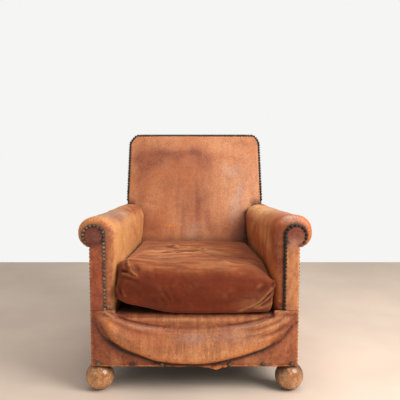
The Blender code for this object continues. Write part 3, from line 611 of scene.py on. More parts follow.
class Paint(Tree):
    """A material while it is built: its nodes, its shader and its Object coordinates."""

    def __init__(self, name: str) -> None:
        """Start the material."""
        self.material = bpy.data.materials.new(name)
        self.material.use_nodes = True
        super().__init__(self.material.node_tree)
        self.shader = self.tree.nodes["Principled BSDF"]
        self.where = self.add("TexCoord").outputs["Object"]

    def patches(self, shared: Finishes, size: float, seed: float) -> tuple[Socket, Socket]:
        """Broad and small soft patches."""
        node = self.group(shared.blotches, {"Where": self.where, "Size": size, "Seed": seed})
        return node.outputs["Broad"], node.outputs["Small"]

    def close(self, colour: Socket, gloss: Any, relief: tuple[Socket, float, float], **fixed: Any) -> Material:
        """Link the surface to the shader.

        Args:
            colour: its colour.
            gloss: its roughness.
            relief: height, strength and distance of its bump.
            fixed: other values of the shader, with _ for a space.

        Returns:
            The material.
        """
        bump = self.add("Bump", dict(zip(("Height", "Strength", "Distance"), relief))).outputs["Normal"]
        values = {"Base Color": colour, "Roughness": gloss, "Normal": bump}
        for key, value in (values | {name.replace("_", " "): value for name, value in fixed.items()}).items():
            if isinstance(value, Socket):
                self.tree.links.new(value, self.shader.inputs[key])
            else:
                self.shader.inputs[key].default_value = value
        return self.material


@dataclass(frozen=True)
class Leather:
    """Old waxed hide: base colour, faded and darkened areas, cracks and grain, with painted shade, highlights and
    sheen.

    The masks 'dark', 'pale', 'rub', 'bloom' and 'grime' that a cover stores on its points place the large marks; 'dark'
    and 'grime' carry painted shade besides stains and dirt, and 'pale' and 'bloom' carry painted highlights and sheen
    besides fading and bloom.
    """

    name: str
    base: Colour
    # pale colour for faded hide, also used for painted highlights on fold ridges, roll tops and sheen marks
    faded: Colour
    deep: Colour
    rubbed: Colour = (0.66, 0.3, 0.1)
    # near-black for dirt and for painted shade in crevices, round nails and under the cushion
    grime: Colour = (0.028, 0.011, 0.007)
    # pinkish grey for bloom and for painted sheen and highlights
    bloom: Colour = (0.47, 0.31, 0.24)
    streak: Point = (30.0, 30.0, 30.0)
    drawn: Point = (1.0, 1.0, 1.0)
    size: float = 0.16
    seed: float = 0.0
    fade: float = 0.55
    stain: float = 0.45
    streaks: float = 0.4
    cracks: float = 0.35
    roughness: float = 0.42
    bump: float = 0.32

    def build(self, shared: Finishes) -> Material:
        """Build the material from the masks 'dark', 'pale', 'rub', 'bloom' and 'grime', which carry painted shade,
        highlights and sheen besides the hide's own marks.
        """
        tree = Paint(self.name)
        where = tree.where
        broad, small = tree.patches(shared, self.size, self.seed)
        spots = tree.patches(shared, self.size * 0.22, self.seed + 3.1)[1]
        hide = tree.group(shared.hide, {"Where": tree.scaled(where, self.drawn)})
        specks = tree.group(shared.specks, {"Where": where, "Cover": 0.4}).outputs["Specks"]
        streaks = tree.window(tree.noise(tree.scaled(where, self.streak), 1, 4, 0.55), 0.38, 0.68)
        uneven = tree.plus(tree.times(small, 0.5), tree.times(spots, 0.5))

        colour = tree.mix(tree.times(broad, self.fade), self.base, self.faded)
        colour = tree.mix(tree.times(tree.times(uneven, uneven), self.stain), colour, self.deep)
        # pale mask: faded hide, and painted highlights on fold ridges, roll tops and sheen marks
        pale = tree.times(tree.mask("pale"), tree.window(uneven, 0, 0.8, (1, 0.45)))
        colour = tree.mix(pale, colour, self.faded)
        colour = tree.mix(tree.times(streaks, self.streaks), colour, self.deep)
        # dark mask: stains and darkened hide, and painted shade under the rolls, in fold hollows and on the apron
        dark = tree.times(tree.mask("dark"), tree.window(uneven, 0.05, 0.75, (0.68, 1)))
        colour = tree.mix(dark, colour, self.deep)
        rub = tree.times(tree.mask("rub"), tree.window(tree.noise(where, 150, 4, 0.6), 0.28, 0.66))
        colour = tree.mix(rub, colour, self.rubbed)
        # bloom mask: grey bloom on the hide, and painted sheen and highlights
        bloom_sheen = tree.times(tree.mask("bloom"), tree.window(spots, 0, 1, (1, 0.5)))
        colour = tree.mix(bloom_sheen, colour, self.bloom)
        crack = tree.plus(tree.times(hide.outputs["Crack"], self.cracks), tree.times(specks, 0.22), limit=True)
        colour = tree.mix(crack, colour, self.deep, 'MULTIPLY')
        fine = tree.window(tree.noise(where, 170, 4, 0.75), 0.34, 0.66, (0.84, 1.13))
        lit = tree.add("HueSaturation", {"Color": colour, "Value": fine}).outputs["Color"]
        # grime mask: dirt, and painted shade in crevices, round nails, under rolls and under the cushion
        grime = tree.times(tree.mask("grime"), tree.window(spots, 0, 1, (0.8, 1)))
        gloss = tree.plus(tree.times(uneven, 0.18), self.roughness)
        gloss = tree.plus(gloss, tree.times(tree.mask("grime"), 0.3), limit=True)
        height = tree.plus(hide.outputs["Height"], tree.times(streaks, -0.6))
        return tree.close(tree.mix(grime, lit, self.grime), gloss, (height, self.bump, 0.0012), Specular_IOR_Level=0.4)


@dataclass(frozen=True)
class Velvet:
    """Brown cotton velvet with the pile brushed by use, its top painted lighter than its front as top light."""

    name: str = "brown_velvet_cushion"
    shade: Colour = (0.165, 0.026, 0.0095)
    light: Colour = (0.285, 0.083, 0.0265)
    # pale colour for worn pile and for painted highlights on the fold crests
    worn: Colour = (0.56, 0.25, 0.105)
    # near-black for dirt and for painted shade at the sides, the bottom and the fold hollows
    dirt: Colour = (0.07, 0.013, 0.006)

    def build(self, shared: Finishes) -> Material:
        """Build the material from the masks 'brushed' (painted top light and nap), 'pale' (worn pile and painted
        highlights on fold crests) and 'grime' (dirt and painted shade).
        """
        tree = Paint(self.name)
        broad, small = tree.patches(shared, 0.11, 7.3)
        strokes = tree.window(tree.noise(tree.scaled(tree.where, (9, 46, 26)), 1, 4, 0.6), 0.38, 0.64)
        # painted top light: faces that look up take the light colour, partly as brushed nap
        top_lit_nap = tree.times(tree.mask("brushed"), tree.window(strokes, 0, 1, (0.46, 1)))
        colour = tree.mix(tree.plus(top_lit_nap, tree.times(small, 0.22), limit=True), self.shade, self.light)
        pale = tree.times(tree.mask("pale"), tree.window(strokes, 0, 1, (0.14, 1)))
        colour = tree.mix(pale, colour, self.worn)
        # dirt in broad patches, with painted shade from the grime mask
        colour = tree.mix(tree.plus(tree.times(broad, 0.34), tree.mask("grime"), limit=True), colour, self.dirt)
        pile = tree.window(tree.noise(tree.where, 900, 2, 0.8), 0.3, 0.7, (0.84, 1.14))
        colour = tree.add("HueSaturation", {"Color": colour, "Value": pile}).outputs["Color"]
        soft = tree.plus(tree.noise(tree.where, 700, 2, 0.8), tree.times(strokes, 0.8))
        return tree.close(colour, 0.92, (soft, 0.22, 0.0016), Specular_IOR_Level=0.15, Sheen_Weight=0.35,
                          Sheen_Roughness=0.45, Sheen_Tint=(0.8, 0.42, 0.26, 1))


@dataclass(frozen=True)
class Wood:
    """Timber with grain along Z, worn pale on its high places."""

    name: str
    base: Colour
    grain: Colour
    worn: Colour
    wear: float = 0.5
    roughness: float = 0.5
    stretch: Point = (60.0, 60.0, 9.0)
    # dark colour for dirt and for painted shade
    dirt: Colour = (0.05, 0.03, 0.02)

    def build(self, shared: Finishes) -> Material:
        """Build the material; the mask 'rub' adds wear, and the mask 'grime' adds dirt and painted shade."""
        tree = Paint(self.name)
        fibre = tree.window(tree.noise(tree.scaled(tree.where, self.stretch), 1, 5, 0.65), 0.36, 0.66)
        fine = tree.noise(tree.scaled(tree.where, tuple(4 * s for s in self.stretch)), 1, 3, 0.7)
        specks = tree.group(shared.specks, {"Where": tree.where, "Scale": 330, "Cover": 0.42}).outputs["Specks"]
        colour = tree.mix(tree.times(fibre, 0.6), self.base, self.grain)
        wear = tree.times(tree.patches(shared, 0.05, 1.9)[1], self.wear)
        bare = tree.times(tree.mask("rub"), tree.window(fibre, 0, 1, (0.42, 1)))
        colour = tree.mix(tree.plus(wear, bare, limit=True), colour, self.worn)
        colour = tree.mix(tree.times(specks, 0.3), colour, self.grain, 'MULTIPLY')
        # dirt and painted shade from the grime mask
        colour = tree.mix(tree.times(tree.mask("grime"), 0.8), colour, self.dirt)
        lit = tree.add("HueSaturation", {"Color": colour, "Value": tree.window(fine, 0.3, 0.7, (0.84, 1.12))})
        gloss = tree.plus(tree.times(fibre, 0.2), self.roughness)
        return tree.close(lit.outputs["Color"], gloss, (tree.plus(fibre, fine), 0.25, 0.0006))


@dataclass(frozen=True)
class Metal:
    """Aged metal: dark in its hollows and bright where it is rubbed, with painted glints on its crowns."""

    name: str
    base: Colour
    bright: Colour
    tarnish: Colour
    roughness: float = 0.38
    metallic: float = 0.85
    shine: float = 0.5

    def build(self, shared: Finishes) -> Material:
        """Build the material; the mask 'rub' gives each head its own brightness, partly rubbed metal and partly a
        painted glint.
        """
        tree = Paint(self.name)
        broad, small = tree.patches(shared, 0.02, 4.4)
        colour = tree.mix(small, self.base, self.tarnish)
        # rubbed metal and painted glints on the nail crowns
        colour = tree.mix(tree.times(tree.mask("rub"), tree.window(broad, 0, 1, (0.5, 1))), colour, self.bright)
        gloss = tree.plus(tree.times(small, 0.25), self.roughness)
        return tree.close(colour, gloss, (tree.noise(tree.where, 600, 2), 0.2, 0.0004), Metallic=self.metallic,
                          Specular_IOR_Level=self.shine)


@dataclass(frozen=True)
class Fibre:
    """Woven or matted fibre, for webbing, canvas, stuffing and lining."""

    name: str
    base: Colour
    dark: Colour
    threads: float = 900.0
    woven: bool = True

    def build(self, shared: Finishes) -> Material:
        """Build the material."""
        tree = Paint(self.name)
        small = tree.patches(shared, 0.09, 2.7)[1]
        if self.woven:
            lines = [tree.add("TexWave", {"Vector": tree.where, "Scale": self.threads / 20, "Distortion": 0.6},
                              bands_direction=way).outputs["Fac"] for way in ('X', 'Y')]
            texture = tree.times(*lines)
        else:
            texture = tree.noise(tree.where, self.threads / 6, 5, 0.75)
        colour = tree.mix(tree.times(texture, 0.6), self.dark, self.base)
        colour = tree.mix(tree.times(small, 0.4), colour, self.dark)
        return tree.close(colour, 0.95, (texture, 0.5, 0.001))


# Arms
@dataclass(frozen=True)
class Roll:
    """Outline of an arm's roll: fuller at the front, sagging behind, flatter underneath."""

    x: float
    z: float = 0.53
    wide: float = 0.063
    wide_behind: float = 0.0605
    low: float = 0.0515
    square: float = 2.2
    depths: tuple[float, ...] = (0.0, 0.05, 0.1, 0.2, 0.3, 0.42, 0.6)
    tall: tuple[float, ...] = (0.0565, 0.0558, 0.0545, 0.0538, 0.0565, 0.06, 0.0615)

    def width(self, depth: float) -> float:
        """Half width of the roll at a depth."""
        return blend(self.wide, self.wide_behind, ease(depth, 0.02, 0.12))

    def point(self, angle: float, depth: float) -> Pair:
        """Point of the outline at an angle, as x and z of the section."""
        across, up = math.cos(angle), math.sin(angle)
        power = 2 / self.square
        tall = float(np.interp(depth, self.depths, self.tall)) if up > 0 else self.low
        across = math.copysign(abs(across) ** power, across) if up > 0 else across
        up = math.copysign(abs(up) ** power, up) if up > 0 else up
        return self.x + self.width(depth) * across, self.z + tall * up

    def meet(self, x: float, depth: float) -> float:
        """Angle at which the upper half of the outline crosses x."""
        return math.acos(((x - self.x) / self.width(depth)) ** (self.square / 2))


@dataclass
class Arm:
    """One arm: hide over the pad and roll, facing, outer panel and its two rows of nails."""

    side: Side
    body: Lines
    roll: Roll
    finishes: dict[str, Material]
    hollow: float = 0.003
    under: float = math.radians(60)
    pad_foot: Pair = (0.266, 0.252)
    pad_head: Pair = (0.257, 0.47)
    nose: float = 0.028
    facing_foot: float = 0.2788
    foot: float = 0.27
    nail_x: float = 0.294
    arc_x: float = 0.327
    arc_z: float = 0.525
    arc_r: float = 0.034
    under_x: float = 0.3405
    panel_top: float = 0.494
    nail_pitch: float = 0.0129
    side_pitch: float = 0.012
    knots: tuple[float, ...] = (0.0, 0.38, 0.46, 0.73, 0.96, 1.0)
    rim_end: float = 0.1
    main_end: float = 0.8
    pad_gap: float = 0.009
    start: float = math.pi - 0.02
    back_depth: float = 0.56
    rear_depth: float = 0.7
    facing_edge: float = 0.003
    facing_y: float = -0.0028
    facing_split: float = 0.78
    girth: float = 0.53
    wrinkles: tuple[Row, ...] = (
        # gathers at the foot of the rim
        (3.5, 2.2, (291, 1, 300), (276, 10, 290)),
        (4, -2, (288, 2, 312), (272, 12, 306)),
        (3, -1.8, (290, 1, 290), (272, 12, 283)),
        # drag lines on the inner pad, behind
        (6, 1.8, (236, 300, 520), (226, 360, 470), (230, 400, 430)),
        (5, -1.6, (232, 340, 530), (221, 400, 480), (226, 440, 440)),
        (7, 1.4, (262, 100, 520), (247, 130, 470), (250, 160, 420)),
        # across the top near the back
        (5.5, 2, (262, 430, 566), (240, 450, 548), (224, 460, 520)),
        (5.5, -1.4, (262, 400, 568), (238, 420, 548), (222, 430, 520)),
    )

    def section(self, share: float, depth: float) -> Pair:
        """Outer line of the arm at a depth: up the pad, over the roll and under it."""
        pad, neck, cross, arc_end = self.knots[1:5]
        start = self.roll.point(self.start, depth)
        if share <= neck:
            t = share / pad if share <= pad else (share - pad) / (neck - pad)
            low, high = (self.pad_foot, self.pad_head) if share <= pad else (self.pad_head, start)
            x, z = blend(low[0], high[0], t), blend(low[1], high[1], t)
            return x + self.hollow * ease(depth, 0.08, 0.4) * hump(z, 0.44, 0.045), z
        meet = self.roll.meet(self.body.half_width + 0.0008, depth)
        if share <= cross:
            return self.roll.point(blend(self.start, meet, (share - neck) / (cross - neck)), depth)
        if share <= arc_end:
            return self.roll.point(blend(meet, -self.under, (share - cross) / (arc_end - cross)), depth)
        last = self.roll.point(-self.under, depth)
        return blend(last[0], self.under_x, (share - arc_end) / (1 - arc_end)), last[1]

    def head(self, angle: float) -> Pair:
        """Point of the nailed arc round the head of the facing."""
        return self.arc_x + self.arc_r * math.cos(angle), self.arc_z + self.arc_r * math.sin(angle)

    def rim(self, share: float) -> Pair:
        """Line on the arm front where the hide is nailed, matched to the section."""
        pad, neck, _, arc_end = self.knots[1:5]
        if share <= pad:
            return self.nail_x, blend(self.foot, self.pad_head[1], share / pad)
        if share <= neck:
            t = (share - pad) / (neck - pad)
            return blend(self.nail_x, self.arc_x - self.arc_r, t), blend(self.pad_head[1], self.arc_z, t)
        if share <= arc_end:
            outer = self.section(share, 0)
            angle = math.atan2(outer[1] - self.roll.z, outer[0] - self.roll.x)
            return self.head(angle + 2 * math.pi if angle < -math.pi / 2 - 0.2 else angle)
        last = self.head(-self.under)
        t = (share - arc_end) / (1 - arc_end)
        return blend(last[0], self.under_x, t), blend(last[1], self.panel_top, t)

    def place(self, across: float, along: float) -> Vector:
        """Point of the hide: round the front rim, back to the back, and on to the rear."""
        if along <= self.rim_end:
            turn = along / self.rim_end * math.pi / 2
            depth = self.nose * (1 - math.cos(turn))
            x, z = self.section(across, depth)
            rim_x, rim_z = self.rim(across)
            z = max(z, self.foot) if across < self.knots[1] else z
            lift = math.sin(turn)
            return self.body.lean(self.side, blend(rim_x, x, lift), depth, blend(rim_z, z, lift))
        meet = self.body.arm_meets_back(*self.section(across, self.back_depth))
        if along <= self.main_end:
            depth = blend(self.nose, meet, (along - self.rim_end) / (self.main_end - self.rim_end))
        else:
            end = self.body.arm_end(self.section(across, self.rear_depth)[1]) - 0.001
            depth = blend(meet, end, (along - self.main_end) / (1 - self.main_end))
        x, z = self.section(across, depth)
        if across < self.knots[1]:
            z = max(z, blend(self.foot, self.pad_foot[1], clamp((depth - self.nose) * 25)))
        return self.body.lean(self.side, x, depth, z)

    def unevenness(self, point: Vector, across: float, along: float) -> float:
        """Lumps of the stuffing, puckers at the nails, and the tuck against the back."""
        pad, neck, cross, _ = self.knots[1:5]
        depth = point.y + self.body.centre_y
        at_rim = clamp(along / self.rim_end)
        move = (0.0022 * rough(point, 9, 2 * self.side.value) + 0.001 * rough(point, 24, 5)) * at_rim
        round_head = ease(across, pad, neck + 0.06)
        puckers = wave(across * self.girth, self.nail_pitch) * 0.5 + 1.1 * rough(point, 95, 1)
        reach = hump(along, 0.04, 0.045) * at_rim ** 0.5
        move += 0.0009 * puckers * reach * (0.3 + 0.7 * round_head)
        if across < neck:
            move -= 0.0026 * hump(point.z, 0.4, 0.06) * ease(depth, 0.03, 0.12)
        crows = max(0, 1 - 3 * abs(rough(point, 34, 9, (1, 1, 0.35))))
        move -= 0.0009 * crows * ease(depth, 0.15, 0.4) * (across < cross)
        move += 0.0007 * rough(point, 48, 3, (0.5, 2.4, 0.5)) * at_rim
        if across < cross + 0.002 and along > self.rim_end:
            meet = self.body.arm_meets_back(*self.section(across, self.back_depth))
            away = clamp((meet - depth) / 0.018)
            move -= 0.01 * rounded(away)
        return move

    def named(self, *names: str) -> list[str]:
        """Names of this side's nodes."""
        return [f"{name}_{self.side.word}" for name in names]

    @property
    def core(self) -> Vector:
        """A point inside the roll."""
        return self.body.lean(self.side, self.roll.x, 0.3, self.roll.z - 0.02)

    def build_cover(self) -> None:
        """Build the hide of the arm."""
        bm = grid_skin(200, 120, self.place)
        across, along = [bm.verts.layers.float[name] for name in ("across", "along")]
        spare = [face for face in bm.faces
                 if min(v[along] for v in face.verts) > self.main_end - 1e-4
                 and max(v[across] for v in face.verts) < self.knots[3] + 1e-4]
        bmesh.ops.delete(bm, geom=spare, context='FACES')
        face_away(bm, self.core)
        swell(bm, self.unevenness)
        press_creases(bm, fold_rows(self.wrinkles, None, self.side.value), self.body)
        self.close_end(bm)
        self.tint_cover(bm)
        age_folds(bm, "dark", "pale", 0.7, 0.0025)
        word = self.side.word
        add_piece(f"arm_hide_{word}", bm, self.finishes[f"arm_leather_{word}"], [f"arm_cover_{word}"],
                  self.body.leather, cut=(0.5, 0.8), rests_on=self.named("arm_pad", "arm_rail", "front_post"))

    def close_end(self, bm: Shape) -> None:
        """Turn the hide over the rear end of the roll and in to the outside back."""
        along = bm.verts.layers.float["along"]
        rim = [edge for edge in bm.edges if edge.is_boundary and min(v[along] for v in edge.verts) > 0.9999]
        chord = self.side.value * min(abs(vert.co.x) for edge in rim for vert in edge.verts)
        faces: list[bmesh.types.BMFace] = []
        for share, push in ((0.05, 0.0012), (0.12, 0.0012), (0.35, 0.0006), (0.45, 0.0003), (1, 0)):
            made = bmesh.ops.extrude_edge_only(bm, edges=rim)["geom"]
            rim = [item for item in made if isinstance(item, bmesh.types.BMEdge)
                   and all(vert in made for vert in item.verts)]
            faces += [item for item in made if isinstance(item, bmesh.types.BMFace)]
            for vert in {vert for edge in rim for vert in edge.verts}:
                vert.co.x += (chord - vert.co.x) * share
                vert.co.y += push
        bm.normal_update()
        for face in faces:
            if face.normal.dot(Vector((self.side.value * 0.3, 1, 0))) < 0:
                face.normal_flip()
        near = dict.fromkeys(vert for face in faces for vert in face.verts)
        bmesh.ops.remove_doubles(bm, verts=list(near), dist=0.00015)
        bm.normal_update()

    def build_padding(self) -> None:
        """Build the stuffing under the hide."""
        def place(across: float, along: float) -> Vector:
            depth = blend(0.012, self.body.arm_meets_back(self.roll.x, self.roll.z) - 0.025, along)
            x, z = self.section(across * self.knots[4], depth)
            core = Vector((self.roll.x, clamp(z, self.pad_foot[1] + 0.04, self.roll.z)))
            spot = core + (Vector((x, z)) - core) * (1 - self.pad_gap / (Vector((x, z)) - core).length)
            return self.body.lean(self.side, spot.x, depth, spot.y)

        word = self.side.word
        piece = add_piece(f"arm_pad_{word}", grid_skin(80, 24, place, self.core), self.finishes["stuffing_fibre"],
                          [f"arm_stuffing_{word}"], thickness=0.01)

    def tint_cover(self, bm: Shape) -> None:
        """Store the arm's worn, darkened and dirty areas, with painted shade under the roll, low on the pad, by the
        nails and at the tuck against the back, and painted highlights on the roll.
        """
        pad, neck, cross, _ = self.knots[1:5]
        left, of = self.side is Side.LEFT, self.side.of
        spots = Spots(bm)
        x, y, z, u, v = spots.rows
        reach = of(0.074, 0.15) * (1 + 0.25 * spots.rough(25, 6))
        dark = ease(v, reach, reach * of(0.62, 0.45)) * of(0.95, 0.8)
        dark *= 1 - of(0.55, 0.35) * ease(u, neck + 0.05, cross)
        # dark under the roll and low on the pad beside the cushion: painted shade
        dark += 0.6 * ease(u, 0.85, 0.95) + ease(z, 0.36, 0.27) * of(0.6, 0.85) * ease(v, 0.1, 0.16)
        rub = 0.9 * hump(v, 0.065, 0.025) * ease(u, neck, neck + 0.1)
        rub += marks(u, v, (of(0.4, 0.15), 0.3, 0.16, 0.22, 0.2))
        rub += 0.8 * ease(u, 0.7, 0.82) * ease(v, 0.02, 0.05) * (0.5 + 0.5 * ease(v, 0.2, 0.12))
        # painted shade at the tuck against the back, in a band along the nails, low on the pad and in a line where the
        # cushion top meets the pad
        grime = 0.9 * ease(v, 0.755, 0.795) * (u < cross + 0.004) + ease(v, of(0.03, 0.026), 0.004) * of(0.5, 0.85)
        grime += 0.65 * ease(z, 0.31, 0.275) * (u < 0.14) + 0.5 * hump(z, 0.405, 0.012) * ease(v, 0.22, 0.4) * (u < pad)
        if left:
            dark += 0.24 * ease(spots.rough(24, 7, (0.3, 1, 0.3)), 0.05, 0.45) * ease(v, 0.34, 0.62) * (u < cross)
            dark += 0.4 * hump(u, 0.6, 0.07) * ease(v, 0.12, 0.25) + 0.35 * hump(u, 0.6, 0.1) * ease(v, 0.15, 0.3)
            dark += marks(u, v, (0.6, 0.61, 0.075, 0.165, 0.075), (0.28, 0.6, 0.1, 0.25, 0.1))
            dark += 0.35 * ease(spots.rough(30, 2), 0.1, 0.5) * hump(u, 0.6, 0.08)
            # lighter roll top and inner pad: partly faded hide, partly painted light
            pale = 0.3 * hump(u, 0.56, 0.12) * ease(v, 0.1, 0.3) + hump(u, 0.28, 0.2) * hump(v, 0.27, 0.2)
            rub += 0.2 * hump(v, 0.05, 0.02) * ease(u, 0.3, 0.36)
            # grey bloom patches on the roll and a painted whitish sheen on its top
            bloom = marks(u, v, (0.55, 0.65, 0.06, 0.15, 0.06), (1, 0.6, 0.04, 0.4, 0.06),
                          (0.32, 0.6, 0.08, 0.25, 0.1), (0.3, 0.66, 0.05, 0.3, 0.1))
        else:
            streak = 0.55 * ease(spots.rough(30, 4, (0.3, 1, 0.3)), -0.1, 0.35) * ease(v, 0.66, 0.2)
            dark += (streak + 0.35 * ease(v, 0.4, 0.78)) * ease(u, 0.6, 0.44)
            # lighter roll top: partly faded hide, partly painted top light
            pale = 1.1 * hump(u, 0.63, 0.1) * ease(v, 0.22, 0.5)
            rub += 0.9 * hump(v, 0.1, 0.055) * ease(u, neck, 0.2) + 0.5 * ease(u, 0.76, 0.88) * ease(v, 0.22, 0.06)
            # painted grey highlights on the front of the roll top, and grey bloom further back
            bloom = marks(u, v, (0.8, 0.66, 0.07, 0.052, 0.03), (0.4, 0.66, 0.05, 0.35, 0.18))
            # a small hole in the hide, its inside painted dark as shade
            hole = (y + self.body.centre_y - 0.125) ** 2 + (x - 0.268) ** 2
            grime += 0.95 * np.exp(-hole / 0.0028 ** 2) * (z > 0.55)
        spots.store(dark=dark, pale=pale, rub=rub, bloom=bloom, grime=grime)

    def facing_half(self, height: float) -> Pair:
        """Inner and outer x of the facing at a height."""
        radius = self.arc_r + self.facing_edge
        if height <= self.arc_z:
            outer = self.body.half_width - 0.0003
            if height > self.panel_top:
                outer = self.arc_x + math.sqrt(radius ** 2 - (height - self.arc_z) ** 2)
            return self.nail_x - self.facing_edge, outer
        half = math.sqrt(max(0, radius ** 2 - (height - self.arc_z) ** 2))
        return self.arc_x - half, self.arc_x + half

    def build_facing(self) -> None:
        """Build the flat leather panel on the arm front."""
        radius = self.arc_r + self.facing_edge
        split = self.facing_split

        def place(across: float, along: float) -> Vector:
            if along <= split:
                height = blend(self.facing_foot, self.arc_z, along / split)
            else:
                height = self.arc_z + radius * math.sin((along - split) / (1 - split) * math.pi / 2 * 0.985)
            inner, outer = self.facing_half(height)
            return self.body.world(self.side.value * blend(inner, outer, across), self.facing_y, height)

        def padding(point: Vector, across: float, along: float) -> float:
            inner = min(across, 1 - across) * 0.046
            edge = -0.0016 * (1 - clamp(inner / 0.004)) ** 2 - 0.0014 * ease(along, 0.965, 1)
            pull = -0.0006 * hump(across, 0.07, 0.06) * (1 + wave(point.z, self.nail_pitch))
            return edge + pull + 0.0014 * math.sin(across * math.pi) + 0.0008 * rough(point, 30, 3)

        bm = grid_skin(24, 110, place, self.body.world(self.side.value * 0.3, 0.3, 0.4), padding)
        of = self.side.of
        spots = Spots(bm)
        x, _, z, u, v = spots.rows
        outer = ease(abs(x), self.body.half_width - 0.012, self.body.half_width - 0.002)
        above = np.maximum(ease(z, self.panel_top, self.panel_top + 0.012), outer * (z > self.panel_top - 0.004))
        arc = ease(np.hypot(abs(x) - self.arc_x, z - self.arc_z), self.arc_r - 0.009, self.arc_r - 0.002) * above
        spots.store(
            dark=of(0.95, 1) * ease(z, 0.47, of(0.51, 0.535)) + of(0.15, 0) + 0.25 * hump(u, 0.05, 0.12)
            + 0.35 * ease(v, 0.12, 0),
            pale=of(0, 0.9) * ease(z, 0.5, 0.44) + of(0, 0.5) * hump(z, 0.487, 0.01),
            bloom=of(0.12, 0.35) * hump(v, of(0.78, 0.7), 0.06) * hump(u, 0.45, 0.35),
            rub=ease(v, 0.8, 0.7) * (hump(u, 1, 0.06) + 0.5 * hump(u, 0.9, 0.08) * ease(spots.rough(35, 2), 0, 0.3)),
            # painted shade along the nail line and round the nailed arc
            grime=of(0.8, 1) * ease(u, 0.14, 0.03) + 0.8 * arc)
        word = self.side.word
        add_piece(f"arm_front_{word}", bm, self.finishes[f"facing_leather_{word}"],
                  [f"arm_facing_{word}"], 0.0024, cut=(0.075, 0.285), rests_on=self.named("front_post"))

    def build_outside(self) -> None:
        """Build the outer side panel, slack between its nails and scuffed near the floor."""
        top = self.roll.z - self.roll.low * math.sin(self.under) - 0.0007

        def place(across: float, along: float) -> Vector:
            height = blend(self.body.skirt, top, along)
            depth = blend(0.0003, self.body.arm_end(height) - 0.003, across)
            return self.body.lean(self.side, self.body.half_width, depth, height)

        def slack(point: Vector, across: float, along: float) -> float:
            held = min(across, 1 - across) * 9 * min(1, along * 6) * min(1, (1 - along) * 6 + 0.2)
            wide = 0.0026 * rough(point, 5, 4 * self.side.value) + 0.0008 * rough(point, 16, 8)
            pulls = 0.0005 * wave(point.z, self.side_pitch) * hump(across, 0.02, 0.025)
            return (wide + 0.0018) * clamp(held) - pulls

        bm = grid_skin(150, 84, place, self.body.world(0, 0.35, 0.3), slack)
        spots = Spots(bm)
        u, v = spots.rows[3:]
        # darker at the top: painted shade under the roll; darker along the front edge: painted shade by the nails
        spots.store(
            dark=0.45 * ease(v, 0.3, 0) + 0.4 * ease(v, 0.9, 1) + 0.2 * ease(u, 0.9, 1),
            pale=0.35 * hump(v, 0.6, 0.25) * hump(u, 0.4, 0.3),
            rub=0.8 * ease(u, 0.012, 0) + 0.6 * ease(v, 0.04, 0),
            grime=0.5 * ease(v, 0.975, 1) + 0.3 * hump(u, 0.012, 0.01))
        word = self.side.word
        add_piece(f"arm_side_{word}", bm, self.finishes["side_leather"], [f"outside_arm_{word}"],
                  self.body.leather, cut=(0.77, 0.395),
                  rests_on=self.named("side_rail", "arm_rail", "front_post", "back_upright"))

    def nail_line(self) -> list[Vector]:
        """Line of the nails round the facing."""
        points = [(self.nail_x, self.facing_foot + 0.004), (self.nail_x, self.arc_z)]
        points += [self.head(math.pi - math.radians(215) * i / 30) for i in range(31)]
        return [self.body.world(self.side.value * x, -0.003, z) for x, z in points]

    def side_line(self) -> list[Vector]:
        """Line of the nails down the front edge of the outer side."""
        depth = 0.0075
        x = self.side.value * (self.body.side_x(depth) + 0.0008)
        return [self.body.world(x, depth, 0.478), self.body.world(x, depth, 0.094)]


# Nails
def walk(line: Sequence[Vector], pitch: float) -> list[tuple[Vector, Vector]]:
    """Points at an even pitch along a line.

    Args:
        line: its corners.
        pitch: wanted spacing.

    Returns:
        The points with the direction of the line at each.
    """
    spans = [(b - a).length for a, b in zip(line, line[1:])]
    count = max(1, round(sum(spans) / pitch))
    spots = []
    for number in range(count + 1):
        left = sum(spans) * number / count
        for a, b, span in zip(line, line[1:], spans):
            if left <= span + 1e-7:
                spots.append((a.lerp(b, left / span), (b - a).normalized()))
                break
            left -= span
    return spots


@dataclass
class NailRow:
    """A row of domed nail heads, each a little out of line as they were hammered."""

    name: str
    nodes: Sequence[str]
    bronze: Material
    spots: Iterable[tuple[Vector, Vector]]
    outward: Callable[[Vector], Sequence[float]]
    radius: float = 0.0047
    dome: float = 0.003
    segments: int = 10
    rings: int = 3
    stray: float = 0.0005
    seed: int = 1
    bright: float = 0.35

    def build(self) -> None:
        """Build the row."""
        chance = random.Random(self.seed)
        bm = bmesh.new()
        rub = bm.verts.layers.float.new("rub")
        for spot, along in self.spots:
            facing = Vector(self.outward(spot)).normalized()
            tilt = Vector([chance.uniform(-0.12, 0.12) for _ in range(3)])
            turn = (facing + tilt).to_track_quat('Z', 'Y').to_matrix().to_4x4()
            turn.translation = spot + along * chance.uniform(-1, 1) * self.stray
            size = self.radius * chance.uniform(0.94, 1.05)
            ball = bmesh.ops.create_uvsphere(bm, u_segments=self.segments, v_segments=2 * self.rings, radius=1)
            low = [vert for vert in ball["verts"] if vert.co.z < -0.01]
            keep = [vert for vert in ball["verts"] if vert.co.z >= -0.01]
            # each head's brightness, strongest on its crown: rubbed metal and a painted glint
            shine = (0.3 + 0.7 * chance.uniform(0, 1) ** 2) * self.bright * 1.6
            for vert in keep:
                x, y, crown = vert.co
                vert[rub] = clamp(shine * (0.35 + 0.65 * crown))
                vert.co = turn @ Vector((x * size, y * size, crown * self.dome * chance.uniform(0.96, 1.04)))
            bmesh.ops.delete(bm, geom=low, context='VERTS')
        skirt = bmesh.ops.extrude_edge_only(bm, edges=[edge for edge in bm.edges if edge.is_boundary])
        for vert in (item for item in skirt["geom"] if isinstance(item, bmesh.types.BMVert)):
            vert.co -= Vector(self.outward(vert.co)).normalized() * 0.001
        bmesh.ops.holes_fill(bm, edges=[edge for edge in bm.edges if edge.is_boundary], sides=0)
        bm.normal_update()
        bmesh.ops.recalc_face_normals(bm, faces=bm.faces)
        add_piece(self.name, bm, self.bronze, self.nodes)


